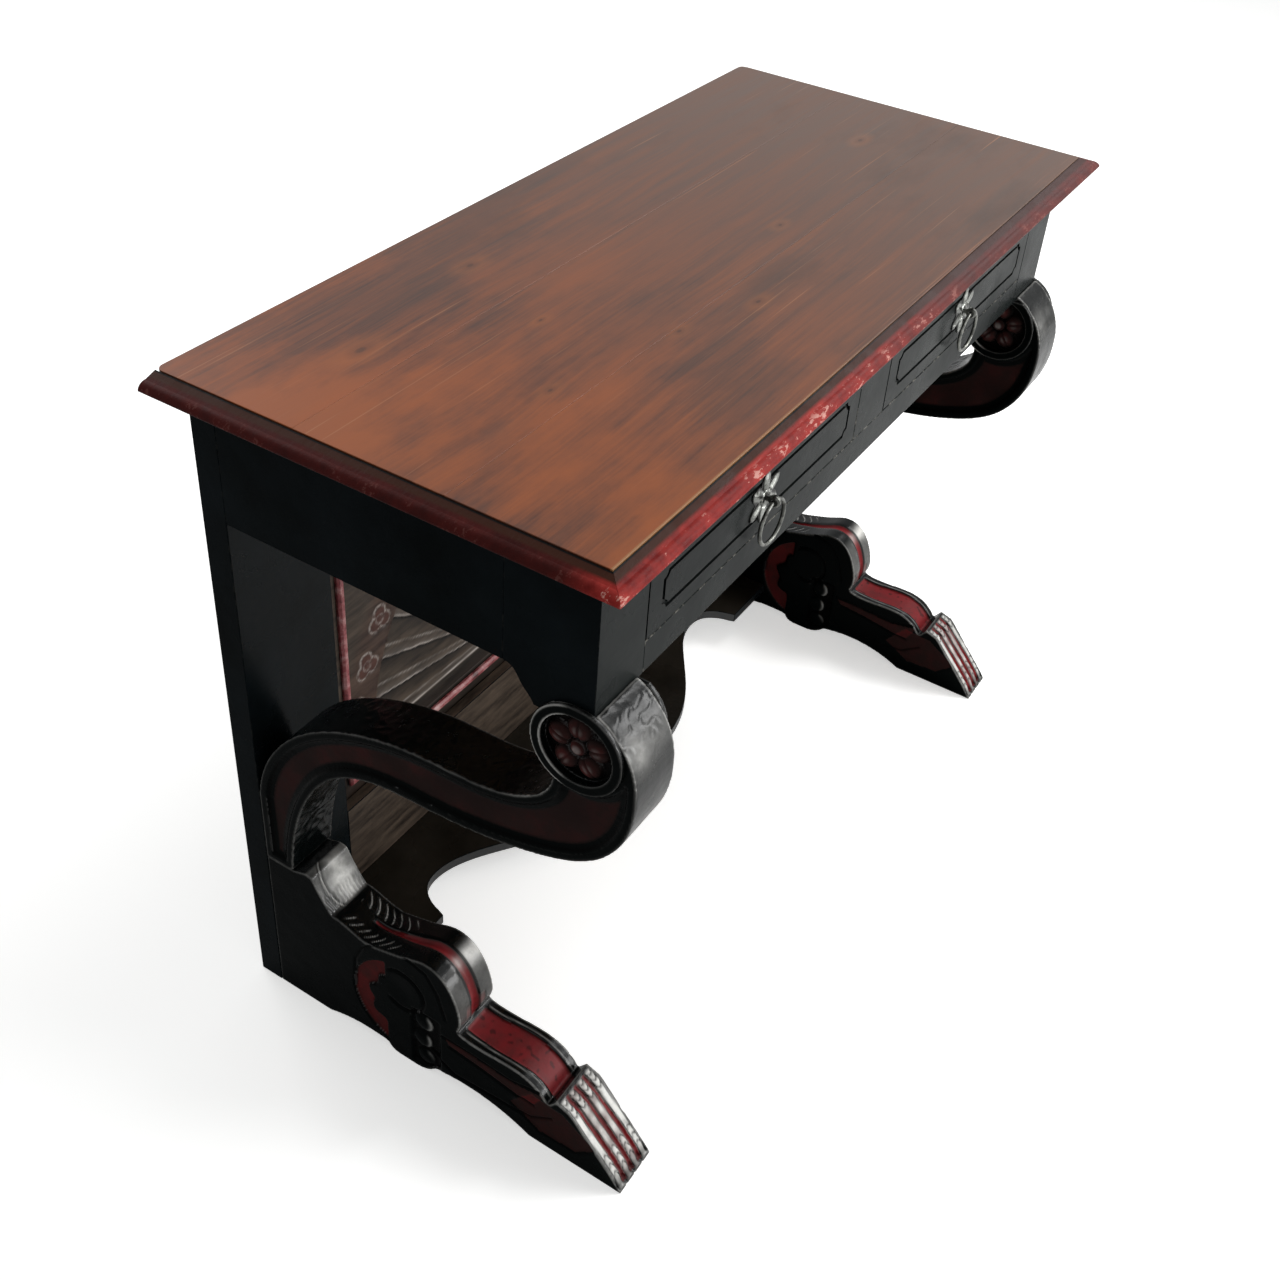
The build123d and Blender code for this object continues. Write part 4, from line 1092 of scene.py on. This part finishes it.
def shapePlate(side, s):
    node = f"{side}_pull_plate"
    piece = fineCopy(node, s["grid"], 1)
    places = points(piece)
    low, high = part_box(node)
    a = (places[:, 0] - (low.x + high.x) / 2) * 1000
    b = (places[:, 2] - (low.z + high.z) / 2) * 1000
    radius, angle = np.hypot(a, b), np.degrees(np.arctan2(b, a)) - 90
    petal = 360 / s["petals"]
    turn = np.radians((angle + petal / 2) % petal - petal / 2)
    off = np.abs(radius * np.sin(turn))                          # distance from the petal's middle line
    ridge = (s["ridge"] - s["edge"]) * np.clip(1 - off / s["half"], 0, 1) * step(*s["ridgeEnd"], radius)
    ridge += s["edge"] - s["vein"] * bell(off, 0.5) * step(*s["veinEnd"], radius)
    boss = s["bossTall"] * np.sqrt(np.clip(1 - (radius / s["boss"]) ** 2 * 0.8, 0, 1))
    boss *= step(s["boss"] + 0.5, s["boss"] - 0.5, radius)
    tall = np.maximum(ridge - bell(radius - s["boss"] - 0.8, 0.8), boss)
    share = (high.y - places[:, 1]) / (high.y - low.y)
    places[:, 1] = high.y - np.clip(share, 0, 1) * tall / 1000
    setPoints(piece, places)
    nothing = np.zeros(len(places))
    setPaint(piece, nothing, step(0.55 * s["ridge"], 0.3 * s["ridge"], tall) + bell(off, 0.7) * 0.6, nothing)
    only(piece)
    bpy.ops.object.shade_smooth_by_angle(angle=math.radians(40))
    dress(piece, metal)
    standFor(piece, f"{side}_drawer", node)


for side in ("left", "right"):
    shapePlate(side, plateShape)
print("pulls shaped")


# a pale floor that only the eye sees lifted, a dim sky that looks bright, and four soft lamps
studio = {
    "floor": "#f6f6f5", "floorSize": 16, "floorLift": 0.58, "floorSpecular": 0.1, "dust": 400,
    "floorRough": (0.75, 0.9), "sky": "#f4f5f6", "skyStrength": 0.36,
    "lamps": (   # place, aim, size, watts
        ((1.9, -2.3, 1.75), (-0.2, -0.2, 0.4), 1.2, 42),
        ((2.4, -0.8, 3.0), (0, 0, 0.5), 1.5, 60),
        ((0.5, 3.0, 2.8), (0, 0, 0.5), 2.0, 35),
        ((0.9, -2.7, 0.75), (-0.4, -0.25, 0.1), 0.8, 21),
    ),
}


# matt white floor, rolled paint: dull all over, in faint wide patches
def floorMaterial(s):
    material, tree, shader, coords = startMaterial("white floor paint, rolled matt", s["floorSpecular"])
    shader.inputs["Base Color"].default_value = linear(s["floor"])
    shader.inputs["Emission Color"].default_value = linear(s["floor"])
    dust = add(tree, "ShaderNodeTexNoise", {"Scale": perMetre(s["dust"]), "Detail": 2},
               {"Vector": coords}).outputs["Fac"]
    rough = add(tree, "ShaderNodeMapRange", {"To Min": s["floorRough"][0], "To Max": s["floorRough"][1]},
                {"Value": dust}).outputs["Result"]
    tree.links.new(rough, shader.inputs["Roughness"])
    seen = add(tree, "ShaderNodeLightPath").outputs["Is Camera Ray"]
    lift = add(tree, "ShaderNodeMath", {1: s["floorLift"]}, {0: seen}, operation="MULTIPLY").outputs[0]
    tree.links.new(lift, shader.inputs["Emission Strength"])
    return material


# the sky is at full strength where it is seen directly, in a gloss or through a clear thing
def setSky(s):
    world = bpy.data.worlds.new("studio")
    bpy.context.scene.world = world
    world.use_nodes = True
    tree = world.node_tree
    sky = tree.nodes["Background"]
    sky.inputs["Color"].default_value = linear(s["sky"])
    path = add(tree, "ShaderNodeLightPath").outputs
    seen = path["Is Camera Ray"]
    for ray in ("Is Glossy Ray", "Is Transmission Ray"):
        seen = add(tree, "ShaderNodeMath", links={0: seen, 1: path[ray]}, operation="MAXIMUM").outputs[0]
    strength = add(tree, "ShaderNodeMapRange", {"To Min": s["skyStrength"], "To Max": 1},
                   {"Value": seen}).outputs["Result"]
    tree.links.new(strength, sky.inputs["Strength"])


def setStudio(s):
    bpy.ops.mesh.primitive_plane_add(size=s["floorSize"])
    floor = bpy.context.object
    floor.name = "floor"
    dress(floor, floorMaterial(s))
    setSky(s)
    for index, (place, aim, size, watts) in enumerate(s["lamps"]):
        bpy.ops.object.light_add(type="AREA", location=place)
        lamp = bpy.context.object
        lamp.name = f"lamp_{index}"
        lamp.data.size = size
        lamp.data.energy = watts
        lamp.rotation_euler = (Vector(place) - Vector(aim)).to_track_quat("Z", "Y").to_euler()


setStudio(studio)
bpy.context.scene.view_settings.view_transform = "Standard"
print("studio set")
